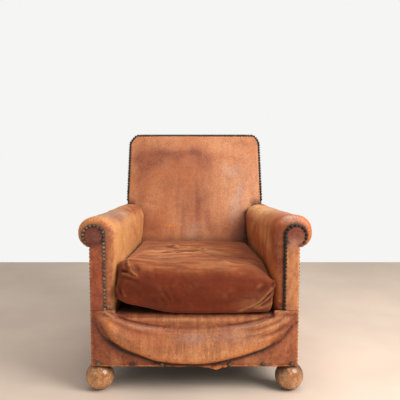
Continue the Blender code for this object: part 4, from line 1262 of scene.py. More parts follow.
# Back
@dataclass
class Back:
    """Crowned inside back, border round its sides and top, outside back, and its nails."""

    body: Lines
    finishes: dict[str, Material]
    low: float = 0.268
    edge: float = 0.012
    edge_depth: float = 0.0085
    nail_pitch: float = 0.0112
    rear_pitch: float = 0.054
    rail_room: float = 0.0338
    timbers: tuple[str, ...] = ("back_upright_left", "back_upright_right", "back_top_rail")
    creases: tuple[Row, ...] = (
        (4, 1, (-60, 550, 505), (-35, 550, 512)),
        (3.5, 1.4, (120, 580, 656), (148, 580, 659)),
        (3, 0.8, (125, 580, 649), (150, 580, 650)),
        (6, 1.2, (-210, 555, 560), (-150, 555, 556)),
        (7, -0.8, (-210, 555, 575), (-140, 555, 570)),
        (5, 0.8, (-200, 600, 715), (-160, 600, 718)),
    )

    def half(self, height: float, side: float = -1.0) -> float:
        """Half width of the inside back."""
        half = self.body.perimeter_x(self.body.back_front(height) + 0.004, height, side)
        if height < self.body.shoulder:
            half -= self.rail_room * ease(height, self.body.shoulder, self.body.shoulder - 0.02)
        return half

    def place(self, across: float, along: float) -> Vector:
        """Point of the inside back, rounded over its outer edge."""
        reach = math.sin((across - 0.5) * math.pi * 0.92) / math.sin(0.46 * math.pi)
        rise = 1 - (1 - along) ** 1.25
        height = blend(self.low, self.body.height, rise)
        half = self.half(height, reach)
        x = half * reach
        gap = min((half - abs(x)), self.body.height - height)
        near = clamp(gap / self.edge)
        over = self.edge_depth * rounded(near)
        depth = self.body.back_front(height) - self.body.crown(x, height) + over
        return self.body.world(x, depth, height)

    def build_inside(self) -> None:
        """Build the inside back."""
        def lumps(point: Vector, across: float, along: float) -> float:
            inside = clamp(min(across, 1 - across) * 14) * clamp((1 - along) * 14)
            wide = 0.003 * rough(point, 6, 3) + 0.001 * rough(point, 17, 6)
            pulls = 0.0005 * wave(point.x, self.nail_pitch) * hump(along, 0.985, 0.012)
            return wide * inside + pulls

        bm = grid_skin(120, 130, self.place, self.body.world(0, 0.75, 0.6), lumps)
        press_creases(bm, fold_rows(self.creases), self.body)
        self.tint_inside(bm)
        add_piece("back_hide", bm, self.finishes["back_leather"], ["inside_back_cover"],
                  self.body.leather, cut=(0.56, 0.61),
                  rests_on=["back_stuffing", "back_top_rail", "back_upright_left", "back_upright_right"])

    def tint_inside(self, bm: Shape) -> None:
        """Store the back's stains, faded areas and scuffs, with painted shade beside the arms, low down behind the
        cushion and along the nailed edge.
        """
        spots = Spots(bm)
        x, _, z, u, v = spots.rows
        half = np.array([self.half(height, side) for height, side in zip(z, x)])
        edge = np.minimum(u, 1 - u)

        def swayed(scale: float, seeds: Sequence[float], reach: float, *rows: Sequence[float]) -> np.ndarray:
            side, rise = [reach * spots.rough(scale, seed) for seed in seeds]
            return marks(1000 * (x + side), 1000 * (z + rise), *rows)

        streaks = ease(spots.rough(11, 4, (4, 0, 0.5)), 0, 0.5) * hump(z, 0.54, 0.13) * hump(x, 0.03, 0.15)
        wide = np.where(x > 0, 0.056, 0.04)
        spots.store(
            dark=0.6 * streaks + swayed(
                18, (1, 2), 0.018, (0.75, -205, 60, 725, 35), (0.35, -145, 40, 752, 24), (1.1, -65, 42, 756, 18),
                (1, 5, 32, 768, 22), (0.75, 45, 45, 735, 30), (0.35, -35, 70, 705, 40), (0.55, -225, 30, 650, 120),
                (0.38, 40, 22, 600, 65), (0.5, -5, 85, 560, 90), (0.35, -120, 50, 640, 30), (0.75, -190, 50, 470, 60),
                (1, 200, 50, 455, 70), (0.5, 200, 26, 806, 12), (0.5, -160, 100, 755, 60)),
            pale=swayed(
                15, (7, 8), 0.018, (0.7, 130, 75, 690, 110), (0.8, 190, 60, 580, 90), (0.65, -155, 35, 600, 50),
                (0.45, -85, 18, 530, 70), (0.55, 100, 110, 790, 22), (0.35, -170, 60, 805, 16),
                (0.35, 100, 20, 500, 60), (0.25, -130, 100, 430, 30)),
            rub=marks(1000 * x, 1000 * z, (1.2, -92, 28, 474, 6))
            + (0.35 * ease(edge, 0.05, 0.01) + 0.4 * ease(v, 0.96, 0.99)) * (z > 0.56),
            bloom=swayed(22, (3, 6), 0.015, (0.55, 150, 40, 690, 30), (0.6, 182, 22, 610, 30),
                         (0.5, 165, 25, 550, 45), (0.35, 0, 40, 455, 30)),
            # painted shade beside the arms, low down behind the cushion, along the nailed edge and where the right arm
            # meets the back
            grime=ease(half - abs(x), wide, wide * 0.6) * ease(z, 0.59, 0.55) + 0.5 * ease(z, 0.445, 0.405)
            + 0.9 * ease(np.minimum(half - abs(x), self.body.height - z), 0.009, 0.002) * (z > 0.56)
            + 0.6 * hump(x, 0.215, 0.035) * ease(z, 0.52, 0.44))

    def build_border(self) -> None:
        """Build the band round the sides and top."""
        heights = [blend(0.464, self.body.corner, i / 12) for i in range(12)]
        heights += [self.body.corner + self.body.corner_drop * math.sin(i / 8 * math.pi / 2) for i in range(9)]
        rise = len(heights) - 1
        top_cells = 60
        total = 2 * rise + top_cells

        def place(across: float, along: float) -> Vector:
            step = round(across * total)
            share, height, sign = 1, self.body.height, 1 if 2 * step >= total else -1
            if rise < step < rise + top_cells:
                share = abs((step - rise) / top_cells * 2 - 1)
            else:
                height = heights[min(step, total - step)]
            depth = blend(self.body.back_front(height) + self.edge_depth, self.body.back_rear(height) - 0.0028, along)
            return self.body.world(sign * share * self.body.perimeter_x(depth, height, sign), depth, height)

        bm = grid_skin(total, 24, place, self.body.world(0, 0.7, 0.6),
                       lambda p, u, v: (0.0008 * rough(p, 12, 1) - 0.0004) * math.sin(v * math.pi))
        spots = Spots(bm)
        z, _, v = spots.rows[2:]
        # darker along the front edge by the nails, partly painted shade, and darker towards the bottom
        spots.store(dark=0.35 + 0.3 * spots.rough(8, 2) + 0.6 * ease(v, 0.08, 0), rub=0.5 * ease(v, 0.92, 1),
                    grime=0.5 * ease(z, 0.52, 0.47))
        add_piece("back_band", bm, self.finishes["side_leather"], ["back_border"], self.body.leather,
                  cut=(0.135, 1.28), rests_on=self.timbers)

    def build_outside(self) -> None:
        """Build the outside back."""
        def place(across: float, along: float) -> Vector:
            height = blend(self.body.skirt, self.body.height - 0.0005, 1 - (1 - along) ** 1.2)
            depth = self.body.back_rear(height)
            side = across * 2 - 1
            return self.body.world(side * self.body.perimeter_x(depth, height, side), depth, height)

        def slack(point: Vector, across: float, along: float) -> float:
            held = clamp(min(across, 1 - across, along, 1 - along) * 8)
            return held * (0.003 * rough(point, 4, 9) + 0.0008 * rough(point, 14, 2) + 0.0015)

        bm = grid_skin(110, 130, place, self.body.world(0, 0.4, 0.5), slack)
        spots = Spots(bm)
        u, v = spots.rows[3:]
        spots.store(dark=0.5 * ease(v, 0.25, 0) + 0.25 * ease(abs(u - 0.5), 0.4, 0.5),
                    pale=0.4 * hump(v, 0.72, 0.2) * hump(u, 0.5, 0.35),
                    rub=0.7 * ease(v, 0.02, 0) + 0.5 * ease(abs(u - 0.5), 0.488, 0.5))
        add_piece("rear_panel", bm, self.finishes["side_leather"], ["outside_back_cover"],
                  self.body.leather, cut=(0.54, 0.755), rests_on=["rear_rail", *self.timbers])

    def nail_line(self) -> list[Vector]:
        """Line of the nails round the front edge, from arm to arm."""
        heights = [0.574, self.body.corner - 0.001]
        heights += [self.body.corner + (self.body.corner_drop - 0.0025) * math.sin(i / 6 * math.pi / 2)
                    for i in range(1, 7)]
        line = []
        for side, rising in ((-1, heights), (1, heights[::-1])):
            for height in rising:
                depth = self.body.back_front(height) + 0.0022
                line.append(self.body.world(side * (self.body.perimeter_x(depth, height, side) - 0.001), depth, height))
        return line

    def nail_outward(self, point: Vector) -> Sequence[float]:
        """Direction that a nail of the front edge faces."""
        share = ease(point.z, self.body.corner - 0.004, self.body.height - 0.004)
        return (math.copysign(0.62 * (1 - share) + 0.001, point.x), -0.72, 0.66 * share)

    def rear_line(self, inset: float = 0.009) -> list[Vector]:
        """Line of the nails round the rear face."""
        body = self.body
        half = [(body.perimeter_x(body.back_rear(z), z) - inset, z)
                for z in (body.skirt + inset * 0.7, body.shoulder, body.corner)]
        half.append((body.perimeter_x(body.back_rear(body.height), body.height) - inset * 0.4, body.height - inset))
        line = [(-x, z) for x, z in half] + half[::-1]
        return [body.world(x, body.back_rear(z) + 0.0012, z) for x, z in line]


# Apron
@dataclass
class Apron:
    """Front leather that has slipped down into a swag over its nailed lower edge."""

    body: Lines
    finishes: dict[str, Material]
    face_y: float = -0.0025
    top: float = 0.278
    lip_x: float = 0.2595
    belly: float = 0.0225
    nail_x: tuple[float, ...] = (-0.318, -0.207, -0.106, 0.116, 0.225, 0.32)
    nail_z: float = 0.0965
    weights: tuple[float, ...] = (1.2, 1.4, 1.2, 1.6, 1.2, 1.2, 2.2, 2.2, 2.0, 1.3, 0.9, 0.9, 1.0, 1.6, 1.6)
    crease_line: tuple[Pair, ...] = (
        (-340, 300), (-296, 274), (-259, 248), (-182, 224), (-87, 215), (9, 212),
        (105, 218), (201, 235), (263, 256), (291, 270), (340, 300))
    fold_line: tuple[Pair, ...] = (
        (-340, 275), (-330, 258), (-321, 231), (-303, 197), (-231, 152), (-126, 113),
        (-58, 105), (9, 103), (58, 107), (154, 130), (226, 154), (288, 188),
        (316, 226), (334, 262), (340, 275))
    folds: tuple[Row, ...] = (
        # the hem's turned edge
        (1.6, -1.4, 0.02, (-335, -2, 92.5), (-100, -2, 92.5), (30, -2, 92.5)),
        (1.6, -1.4, 0.02, (110, -2, 92.5), (200, -2, 92.5), (335, -2, 92.5)),
        # ridge and hollow from the upper left corner
        (4, -3.4, 0.25, (-312, -3, 280), (-282, -4, 262), (-250, -6, 243), (-211, -8, 229), (-170, -8, 220),
         (-105, -6, 212)),
        (4.2, 5, 0.25, (-300, -2, 282), (-270, -3, 265), (-240, -3, 249), (-205, -3, 237), (-150, -2, 225),
         (-70, -1, 219)),
        (12, -3.6, (-316, -4, 258), (-285, -10, 226), (-238, -17, 196), (-165, -23, 168)),
        (8.5, 4, (-306, -4, 262), (-262, -8, 234), (-200, -14, 210), (-110, -18, 196)),
        (8, 3.4, (-318, -3, 240), (-303, -6, 205), (-277, -10, 176)),
        # ridges from the upper right corner
        (4.8, -4.6, 0.25, (292, -3, 276), (250, -4, 249), (213, -6, 233), (167, -7, 222), (99, -6, 216)),
        (4.5, 4, 0.25, (286, -2, 279), (245, -3, 257), (206, -3, 241), (150, -2, 229), (80, -1, 222)),
        (5.5, 4.6, (312, -3, 272), (272, -6, 241), (228, -10, 221), (160, -13, 206)),
        (5.5, -5.2, (330, -3, 276), (296, -7, 245), (251, -12, 222), (205, -15, 204), (120, -18, 190)),
        (5.5, 4.6, (330, -4, 262), (305, -8, 231), (262, -14, 205), (200, -18, 184)),
        (6.5, -4.4, (337, -3, 266), (324, -6, 238), (289, -11, 208), (240, -17, 186), (170, -21, 168)),
        (7, 3.4, (330, -4, 236), (300, -9, 198), (252, -16, 170), (190, -22, 148)),
        # the sagging lip
        (6.5, 2, (-206, -2, 243), (-158, -2, 235), (-87, -1, 229), (30, -1, 229), (120, -1, 232)),
        (7.5, -2.2, (-190, 0, 252), (-60, 0, 243), (80, 0, 242), (190, 0, 250)),
        # drag lines down the belly
        (3.5, 1.1, (-10, -22, 185), (-6, -24, 150), (-12, -24, 122)),
        (2.8, 0.9, (18, -22, 175), (20, -24, 150), (17, -24, 128)),
        (4, 1, (45, -22, 180), (52, -24, 150), (48, -24, 120)),
        (4, 1, (-70, -22, 175), (-62, -24, 146), (-66, -24, 122)),
        (2.8, 0.9, (-36, -22, 178), (-34, -24, 150), (-38, -24, 130)),
    )

    def lines_at(self, x: float) -> Pair:
        """Heights of the upper crease and of the fold's lower edge at x."""
        crease, fold = [sum(float(np.interp(1000 * x + d, *zip(*line))) for d in (-12, -4, 4, 12)) / 4000
                        for line in (self.crease_line, self.fold_line)]
        return min(crease, 0.258), min(fold, min(crease, 0.258) - 0.01)

    def hem(self, x: float) -> float:
        """Height of the lower edge, with its torn flap and frayed notches."""
        drop = 0.012 * max(0, 1 - abs(x - 0.07) / 0.024) ** 0.6 if abs(x - 0.07) < 0.024 else 0
        drop += 0.0045 * hump(x, 0.036, 0.01) + 0.0038 * hump(x, 0.1, 0.008) + 0.0022 * hump(x, -0.052, 0.016)
        spot = Vector((x, 0, 0))
        ragged = 0.0014 * rough(spot, 70, 3) + 0.001 * rough(spot, 230, 5)
        torn = hump(x, 0.075, 0.06)
        return self.body.skirt - drop + ragged + torn * 0.003 * rough(spot, 170, 9) - 0.0008

    def column(self, x: float) -> list[Pair]:
        """Outer line of the apron at x, as depth and height from the lip down to the hem."""
        reach = abs(x)
        crease, fold = self.lines_at(x)
        belly = self.belly * max(0, 1 - (reach / 0.322) ** 2.5)
        flat = ease(reach, 0.268, 0.3)
        pinch = 0.0055 * max(0, 1 - (reach / 0.3) ** 2)
        if reach <= self.lip_x:
            line = [(0.0285, 0.2657), (0.014, 0.2652), (0.0035, 0.2595), (0.001, 0.25)]
        else:
            line = [(self.face_y, self.top), (self.face_y, 0.272), (self.face_y, 0.266), (self.face_y, 0.26)]
        line[3] = (line[3][0], max(line[3][1], crease + 0.004))
        line.append((self.face_y + pinch, crease))
        for share, out in ((0.1, 0.36), (0.25, 0.62), (0.5, 0.9), (0.7, 1), (0.88, 0.99), (0.97, 0.84)):
            line.append((self.face_y - belly * out, crease + (fold - crease) * share))
        line.append((self.face_y - belly * blend(0.55, 0.62, flat), fold - 0.003))
        line.append((self.face_y - belly * blend(0.1, 0.36, flat), fold - blend(0.001, 0.0075, flat)))
        line.append((self.face_y + 0.0004, fold - blend(0.0065, 0.016, flat)))
        hem = self.hem(x)
        line.append((self.face_y, blend(line[-1][1], hem, 0.5)))
        line.append((self.face_y - 0.0002, hem))
        return line

    def place(self, across: float, along: float) -> Vector:
        """Point of the apron's outer face."""
        x = (across * 2 - 1) * (self.body.half_width - 0.0003)
        line = self.column(x)
        left = along * sum(self.weights)
        index = 0
        while index < len(self.weights) - 1 and left > self.weights[index]:
            left -= self.weights[index]
            index += 1
        t = clamp(left / self.weights[index])
        points = [line[max(0, min(len(line) - 1, index + k))] for k in (-1, 0, 1, 2)]
        spline = [0.5 * (2 * b + (c - a) * t + (2 * a - 5 * b + 4 * c - d) * t * t + (3 * b - a - 3 * c + d) * t ** 3)
                  for a, b, c, d in zip(*points)]
        return self.body.world(x, spline[0], spline[1])

    def build(self) -> None:
        """Build the apron."""
        def uneven(point: Vector, across: float, along: float) -> float:
            held = clamp(min(across, 1 - across) * 16)
            wide = 0.0018 * rough(point, 12, 3) + 0.0009 * rough(point, 30, 1)
            fine = 0.0011 * rough(point, 42, 6, (2.6, 1, 0.4)) * hump(point.z, 0.15, 0.05) * hump(point.x, 0, 0.18)
            fold = self.lines_at(point.x)[1]
            below = ease(fold - point.z, 0, 0.012) * 0.0009 * (1 + rough(point, 26, 2))
            flat = ease(point.z - fold, -0.002, 0.006)
            return (wide + fine) * held * flat * ease(along, 0.05, 0.3) + below * held * ease(point.z, 0.09, 0.1)

        bm = grid_skin(270, 116, self.place, self.body.world(0, 0.4, 0.17), uneven)
        press_creases(bm, fold_rows(self.folds), self.body)
        self.tint(bm)
        age_folds(bm, "dark", "pale", 0.55, 0.0045)
        add_piece("apron_hide", bm, self.finishes["apron_leather"], ["front_apron"], 0.0022,
                  cut=(0.68, 0.235), rests_on=["front_rail", "front_post_left", "front_post_right"])

    def tint(self, bm: Shape) -> None:
        """Store the apron's dark corners, partly the fold's painted shadow, its rubbed fold with painted highlights and
        sheen, its bare lip with painted shade on top, and its frayed edge.
        """
        spots = Spots(bm)
        x, y, z = spots.rows[:3]
        crease, fold = np.array([self.lines_at(spot) for spot in x]).T
        below, reach, left = fold - z, abs(x), x < 0
        flat = (1000 * x, 1000 * z)

        # darker strip below the fold's lower edge, partly painted shadow of the fold
        corner = ease(below, -0.004, 0.014) * np.where(left, 0.9, 0.42) * (0.75 + 0.25 * ease(below, 0.06, 0.03))
        dark = corner * (0.55 + 0.75 * ease(spots.rough(14, 12), -0.3, 0.4)) + 0.25 * clamp(spots.rough(20, 5))
        # painted shade at the far ends, and in the hollow just above the crease
        dark += ease(reach, 0.27, 0.33) * np.where(left, 0.85, 0.25) + 0.6 * hump(z, crease + 0.006, 0.009)
        dark += marks(*flat, (0.45, 0, 100, 190, 30), (0.45, 200, 90, 200, 25), (0.4, -200, 80, 145, 20))
        # painted shade in a soft hollow along the fold's lower edge at the sides
        dark += hump(below, -0.001, 0.019) * ease(reach, 0.23, 0.29) * np.where(left, 1.3, 0.7)
        # painted shade on top of the lip, under the cushion
        dark += (0.8 + 0.6 * ease(x, 0.15, -0.1)) * ease(z, 0.247, 0.259) * (reach < 0.262)

        pale = 0.5 * ease(z, 0.236, 0.25) + 0.65 * hump(below, -0.02, 0.018) * ease(reach, 0.3, 0.2)
        # pale patches, the last a painted sheen on the right-hand fold
        pale += marks(*flat, (0.5, 30, 120, 135, 20), (0.5, 30, 100, 175, 30), (0.7, 255, 45, 222, 22))
        # painted sheen along the crease and on the middle of the belly, with grey bloom
        bloom = 0.55 * hump(reach, 0.17, 0.07) * hump(z, crease - 0.002, 0.004)
        bloom += marks(*flat, (0.5, -5, 50, 188, 16), (0.35, 130, 60, 195, 18))

        # lower edge of the fold, rubbed and lit: partly wear, partly painted highlight
        worn = 0.75 * hump(below, -0.006, 0.006) + 0.3 * hump(below, -0.018, 0.012)
        rub = ease(z - self.body.skirt, 0.006, 0.003) + worn * ease(reach, 0.31, 0.26) + 0.9 * ease(reach, 0.334, 0.339)
        rub += marks(*flat, (0.7, -278, 12, 225, 22))

        # painted shadow just below the fold's lower edge, heavier on the left
        grime = hump(below, 0.01, 0.009) * (0.75 * ease(reach, 0.33, 0.22) + 0.3)
        grime += 0.5 * hump(below, 0.012, 0.022) * ease(x, -0.19, -0.25) * ease(reach, 0.333, 0.32)
        # darker patches along the hem and a thin dark line through the nails
        grime += 0.45 * ease(z, 0.1, 0.09) * (spots.rough(60, 8) > 0.1) + 0.6 * hump(z, 0.0965, 0.0018)
        # a small dark spot, and painted shade round each nail
        grime += marks(*flat, (0.9, -146, 2.5, 132, 2.5), *[(0.65, 1000 * nail, 11, 96.5, 11) for nail in self.nail_x])
        # painted shade towards the back of the lip, under the cushion
        grime += ease(y + self.body.centre_y, 0.002, 0.016) * (0.6 + 0.35 * ease(x, 0, 0.2))
        spots.store(dark=dark, pale=pale, rub=rub, bloom=bloom, grime=grime)


# Cushion
@dataclass
class SeatCushion:
    """Loose velvet seat cushion, boxy in front, slack at its corners, lifted at its left front corner."""

    body: Lines
    arms: tuple[Arm, Arm]
    finishes: dict[str, Material]
    low: float = 0.2662
    top: float = 0.412
    crown: float = 0.017
    half: float = 0.26
    front: float = -0.011
    round_low: float = 0.011
    round_top: float = 0.034
    round_side: float = 0.013
    bulge: float = 0.009
    cuts: int = 31
    voxel: float = 0.0055
    cloth: dict[str, float] = field(default_factory=lambda: {
        "uniform_pressure_force": 4.0, "mass": 0.35, "tension_stiffness": 18.0, "compression_stiffness": 12.0,
        "bending_stiffness": 0.35, "quality": 6})
    cap: float = 0.0035
    frames: int = 20
    deck: float = 0.2661
    folds: tuple[Row, ...] = (
        # left front corner
        (4.2, -6, 0.15, (-226, 20, 450), (-219, -8, 440), (-214, -12, 424), (-208, -16, 410), (-198, -18, 400),
         (-180, -18, 392)),
        (8.5, 4, (-196, -10, 432), (-188, -14, 418), (-176, -16, 404)),
        (5, 3, (-230, -10, 434), (-225, -12, 422), (-220, -14, 412)),
        (4.2, 8.5, 0.2, (-240, 0, 409), (-228, -10, 408), (-214, -14, 406)),
        (4, -3.6, 0.3, (-240, 0, 400), (-226, -12, 400), (-210, -16, 396), (-186, -18, 384)),
        (7, 3, (-238, -10, 390), (-205, -17, 384), (-172, -18, 370)),
        (3.8, -4.5, (-250, -4, 368), (-252, -6, 350), (-250, -8, 334)),
        (4.2, 3.6, (-245, -10, 362), (-242, -13, 345), (-236, -15, 328)),
        (4.4, -2.8, (-238, -13, 352), (-229, -16, 334), (-222, -16, 318)),
        # right front corner
        (3.8, -6, 0.15, (262, 0, 362), (249, -10, 353), (222, -16, 322), (196, -18, 299), (164, -18, 284),
         (131, -16, 275)),
        (3.6, 4.6, 0.2, (256, -2, 350), (240, -14, 331), (212, -16, 306), (176, -16, 287), (145, -16, 278)),
        (3.4, -4.6, 0.2, (257, 0, 343), (236, -13, 320), (209, -15, 300), (180, -15, 284)),
        (3.4, 4.4, 0.2, (257, 0, 334), (238, -12, 311), (210, -14, 293)),
        (3.6, -3.4, 0.2, (254, 0, 309), (239, -11, 300), (218, -14, 291), (190, -14, 284)),
        (3.6, -3, 0.2, (250, -6, 345), (250, -8, 318), (248, -8, 290)),
        (4, -4.4, 0.2, (256, -2, 380), (262, -4, 366), (256, -10, 353)),
        (3.6, 6, 0.2, (258, -6, 370), (254, -10, 362), (250, -10, 356)),
        (6, -2.4, (224, -14, 374), (210, -18, 364), (196, -19, 352)),
        (7, 3, (240, -12, 368), (222, -17, 352), (200, -18, 336)),
        # front
        (4, 1.6, (-15, -20, 372), (-4, -20, 362), (-2, -20, 352)),
        (7, 1.6, (-120, -20, 330), (-100, -20, 310), (-95, -18, 292)),
        (9, -1.8, (80, -20, 325), (100, -20, 345), (130, -18, 360)),
        (9, 1.8, (40, -20, 300), (110, -20, 310), (160, -18, 325)),
    )
    top_folds: tuple[Row, ...] = (
        (6, -5, (-125, 345), (-90, 330), (-48, 285)),
        (5.5, 5.5, (-120, 318), (-85, 300), (-58, 258)),
        (5.5, -6.2, (-48, 248), (-10, 264), (20, 262), (60, 222)),
        (6, 6, (-60, 222), (-30, 205), (16, 222), (44, 206)),
        (5, -4, (-72, 204), (-36, 180), (10, 192)),
        (5.5, 5, (-40, 305), (0, 308), (45, 290)),
        (5.5, -3.6, (-30, 330), (10, 335), (55, 318)),
        (5.5, -5.2, (42, 197), (60, 155), (80, 112)),
        (5.5, 4.6, (26, 222), (47, 180), (64, 135)),
        (6, -3.4, (-30, 162), (-5, 142), (10, 105)),
        (5.5, 4, (70, 250), (100, 225), (140, 222)),
        (5.5, -3.6, (75, 272), (110, 250), (150, 245)),
        (8, 3.6, (85, 130), (130, 150), (185, 130)),
        (7, -3.4, (89, 83), (124, 41)),
        (6, -3.6, (148, 236), (170, 205), (183, 172)),
        (6.5, 3.4, (70, 345), (120, 325), (180, 320)),
        (7.5, -4.6, (-225, 105), (-180, 142), (-120, 152), (-70, 148)),
        (7, 3.4, (-215, 85), (-165, 112), (-110, 124)),
        (6, 4, (-215, 160), (-165, 178), (-110, 176)),
        (6.5, -4.2, (-195, 245), (-155, 236), (-100, 222)),
        (5.5, 4, (-190, 212), (-140, 208), (-85, 196)),
        (5.5, 3.6, (-200, 275), (-150, 270), (-110, 255)),
        (6, -3.4, (-180, 310), (-140, 300)),
    )

    def lift(self, x: float) -> float:
        """How far the front lower edge stands off the deck at x."""
        places = (-265, -250, -228, -194, -151, -108, -64, 100, 153, 218, 246, 262)
        return float(np.interp(1000 * x, places, (58, 50, 36, 27, 16, 6, 0, 0, 1, 3, 5, 9))) / 1000

    def front_half(self, z: float, side: float) -> float:
        """Half width of the cushion's front face at height z."""
        left, right = (246, 256, 261, 258, 253, 245, 241, 236), (250, 257, 259, 264, 269, 258, 242, 232)
        heights = (266, 300, 325, 345, 365, 390, 425, 450)
        return float(np.interp(1000 * z, heights, left if side < 0 else right)) / 1000

    def place(self, cube: Vector) -> Vector:
        """Point of the cushion's form for a point of a cube from -1 to 1."""
        cube = Vector([math.sin(c * math.pi / 2) for c in cube])
        size = Vector((self.half, 0.26, (self.top - self.low) / 2))
        spot = Vector([c * s for c, s in zip(cube, size)])
        ahead = ease(-cube.y, 0.55, 0.95)
        high = ease(cube.z, -0.8, 0.6)
        side = blend(self.round_low, blend(self.round_side, self.round_top * 0.7, ahead), high)
        radii = (side, blend(self.round_low, self.round_top, high), blend(side, self.round_top, ahead * high))
        core = Vector([clamp(c, -(s - r), s - r) for c, s, r in zip(spot, size, radii)])
        away = Vector([(p - c) / r for p, c, r in zip(spot, core, radii)])
        if away.length > 1e-6:
            spot = core + Vector([a * r for a, r in zip(away.normalized(), radii)])
        u, v, w = (c / s for c, s in zip(spot, size))
        height = (w + 1) / 2
        front = ease(-v, 0.2, 1)
        z = self.low + (self.top - self.low) * height
        z += self.crown * max(0, w) * (1 - u * u) * (1 - v ** 4)
        z += height ** 2 * (0.007 * ease(-u, 0.5, 0.95) + 0.02 * front * hump(u, -0.86, 0.42))
        z -= height ** 2 * front * (0.01 * ease(u, 0.2, 0.9) + 0.02 * ease(u, 0.78, 1))
        z += self.lift(u * self.half) * ease(-v, 0.3, 1) * (1 - height) ** 0.8
        back = self.body.back_front(z) - self.body.back_crown - 0.006
        y = self.front + (back - self.front) * (v + 1) / 2
        y -= self.bulge * max(0, -v) ** 6 * (1 - 0.7 * u * u) * (1 - w * w)
        y += 0.006 * max(0, -v) ** 6 * height ** 3
        wide = self.half - self.body.side_taper * max(y, 0)
        x = u * blend(wide, self.front_half(z, u), ease(y, 0.035, 0.004))
        return self.body.world(x, y, z)

    def cage(self) -> Shape:
        """Build the closed form that the cloth starts from."""
        bm = bmesh.new()
        bmesh.ops.create_cube(bm, size=2)
        bmesh.ops.subdivide_edges(bm, edges=bm.edges[:], cuts=self.cuts, use_grid_fill=True)
        for vert in bm.verts:
            vert.co = self.place(vert.co.copy())
        bm.normal_update()
        bmesh.ops.recalc_face_normals(bm, faces=bm.faces)
        return bm

    def side_limit(self, y: float, z: float, sign: int) -> float:
        """Half width between the arms at a depth and height, wider round their front rims."""
        arm = self.arms[0] if sign < 0 else self.arms[1]
        pad = blend(arm.pad_foot[0], arm.pad_head[0], (z - arm.pad_foot[1]) / (arm.pad_head[1] - arm.pad_foot[1]))
        if y >= arm.nose:
            return pad - self.body.side_taper * y - 0.0004
        if y <= 0:
            return arm.nail_x - 0.004
        turn = math.acos(clamp(1 - y / arm.nose, 0, 1))
        return arm.nail_x + (pad - arm.nail_x) * math.sin(turn) - self.body.side_taper * y - 0.0004

    def settle(self, bm: Shape) -> None:
        """Keep the cushion between the arms, off the back and on the deck."""
        for vert in bm.verts:
            x, y, z = vert.co.x, vert.co.y + self.body.centre_y, vert.co.z
            limit = self.side_limit(y, z, -1 if x < 0 else 1)
            x = clamp(x, -limit, limit)
            y = min(y, self.body.back_front(z) - self.body.crown(x, z) - 0.0012)
            vert.co = self.body.world(x, y, max(z, self.deck))

    def apply(self, piece: Piece) -> None:
        """Apply the piece's modifiers to its mesh."""
        bpy.context.view_layer.update()
        graph = bpy.context.evaluated_depsgraph_get()
        piece.data = bpy.data.meshes.new_from_object(piece.evaluated_get(graph))
        piece.modifiers.clear()

    def simulate(self, piece: Piece) -> None:
        """Let cloth pressure swell and wrinkle the form, and cap the moves."""
        start = np.array([vert.co[:] for vert in piece.data.vertices])
        cloth = piece.modifiers.new("cloth", 'CLOTH')
        settings = cloth.settings
        settings.use_pressure = True
        settings.effector_weights.gravity = 0
        for key, value in self.cloth.items():
            setattr(settings, key, value)
        scene = bpy.context.scene
        scene.frame_start, scene.frame_end = 1, self.frames
        cloth.point_cache.frame_start, cloth.point_cache.frame_end = 1, self.frames
        for number in range(1, self.frames + 1):
            scene.frame_set(number)
        self.apply(piece)
        scene.frame_set(1)
        end = np.array([vert.co[:] for vert in piece.data.vertices])
        move = end - start
        length = np.linalg.norm(move, axis=1, keepdims=True)
        end = start + move * np.minimum(1, self.cap / np.maximum(length, 1e-9))
        for vert, spot in zip(piece.data.vertices, end):
            vert.co = spot

    def build(self) -> None:
        """Build the cushion."""
        piece = new_object("cloth", new_mesh("cloth", self.cage()))
        even = piece.modifiers.new("remesh", 'REMESH')
        even.mode = 'VOXEL'
        even.voxel_size = self.voxel
        self.apply(piece)
        self.simulate(piece)
        soft = piece.modifiers.new("soft", 'SUBSURF')
        soft.levels = soft.render_levels = 1
        self.apply(piece)
        bm = bmesh.new()
        bm.from_mesh(piece.data)
        bpy.data.objects.remove(piece)
        bmesh.ops.smooth_vert(bm, verts=bm.verts, factor=0.5, use_axis_x=True, use_axis_y=True, use_axis_z=True)
        across, along = [bm.verts.layers.float.new(name) for name in ("across", "along")]
        for vert in bm.verts:
            vert[across], vert[along] = clamp(vert.co.x + 0.5), clamp(vert.co.y + 0.5)
        swell(bm, self.slack)
        press_creases(bm, fold_rows(self.folds) + fold_rows(self.top_folds, 2, top=self.top), self.body)
        self.tint(bm)
        age_folds(bm, "grime", "pale", 0.45)
        self.settle(bm)
        piece = add_piece("seat_pad", bm, self.finishes["brown_velvet_cushion"], ["seat_cushion"])

    def slack(self, point: Vector, across: float, along: float) -> float:
        """Loose ripples of the velvet on top and round the edges."""
        y = point.y + self.body.centre_y
        top = ease(point.z, 0.395, 0.415)
        drawn = (0.35, 1.5, 1)
        ripples = 0.0024 * rough(point, 26, 4, drawn) + 0.0018 * (0.4 - 2.4 * abs(rough(point, 44, 8, drawn)))
        ripples *= top * hump(y, 0.24, 0.2) * (0.3 + 0.7 * hump(point.x, 0, 0.15))
        front = 0.0016 * rough(point, 14, 2) * ease(-y, -0.05, 0)
        edge = 0.0014 * rough(point, 30, 7, (2.2, 1, 1)) * hump(point.z, 0.405, 0.016)
        return ripples + front + edge * ease(-y, -0.06, 0)

    def tint(self, bm: Shape) -> None:
        """Store where the pile is painted lighter facing up as top light, partly brushed nap, where it is faded, and
        where it is soiled, with painted shade at the sides and bottom.
        """
        bm.normal_update()
        spots = Spots(bm)
        x, y, z = spots.rows[:3]
        y = y + self.body.centre_y
        top = ease(z, 0.39, 0.42)
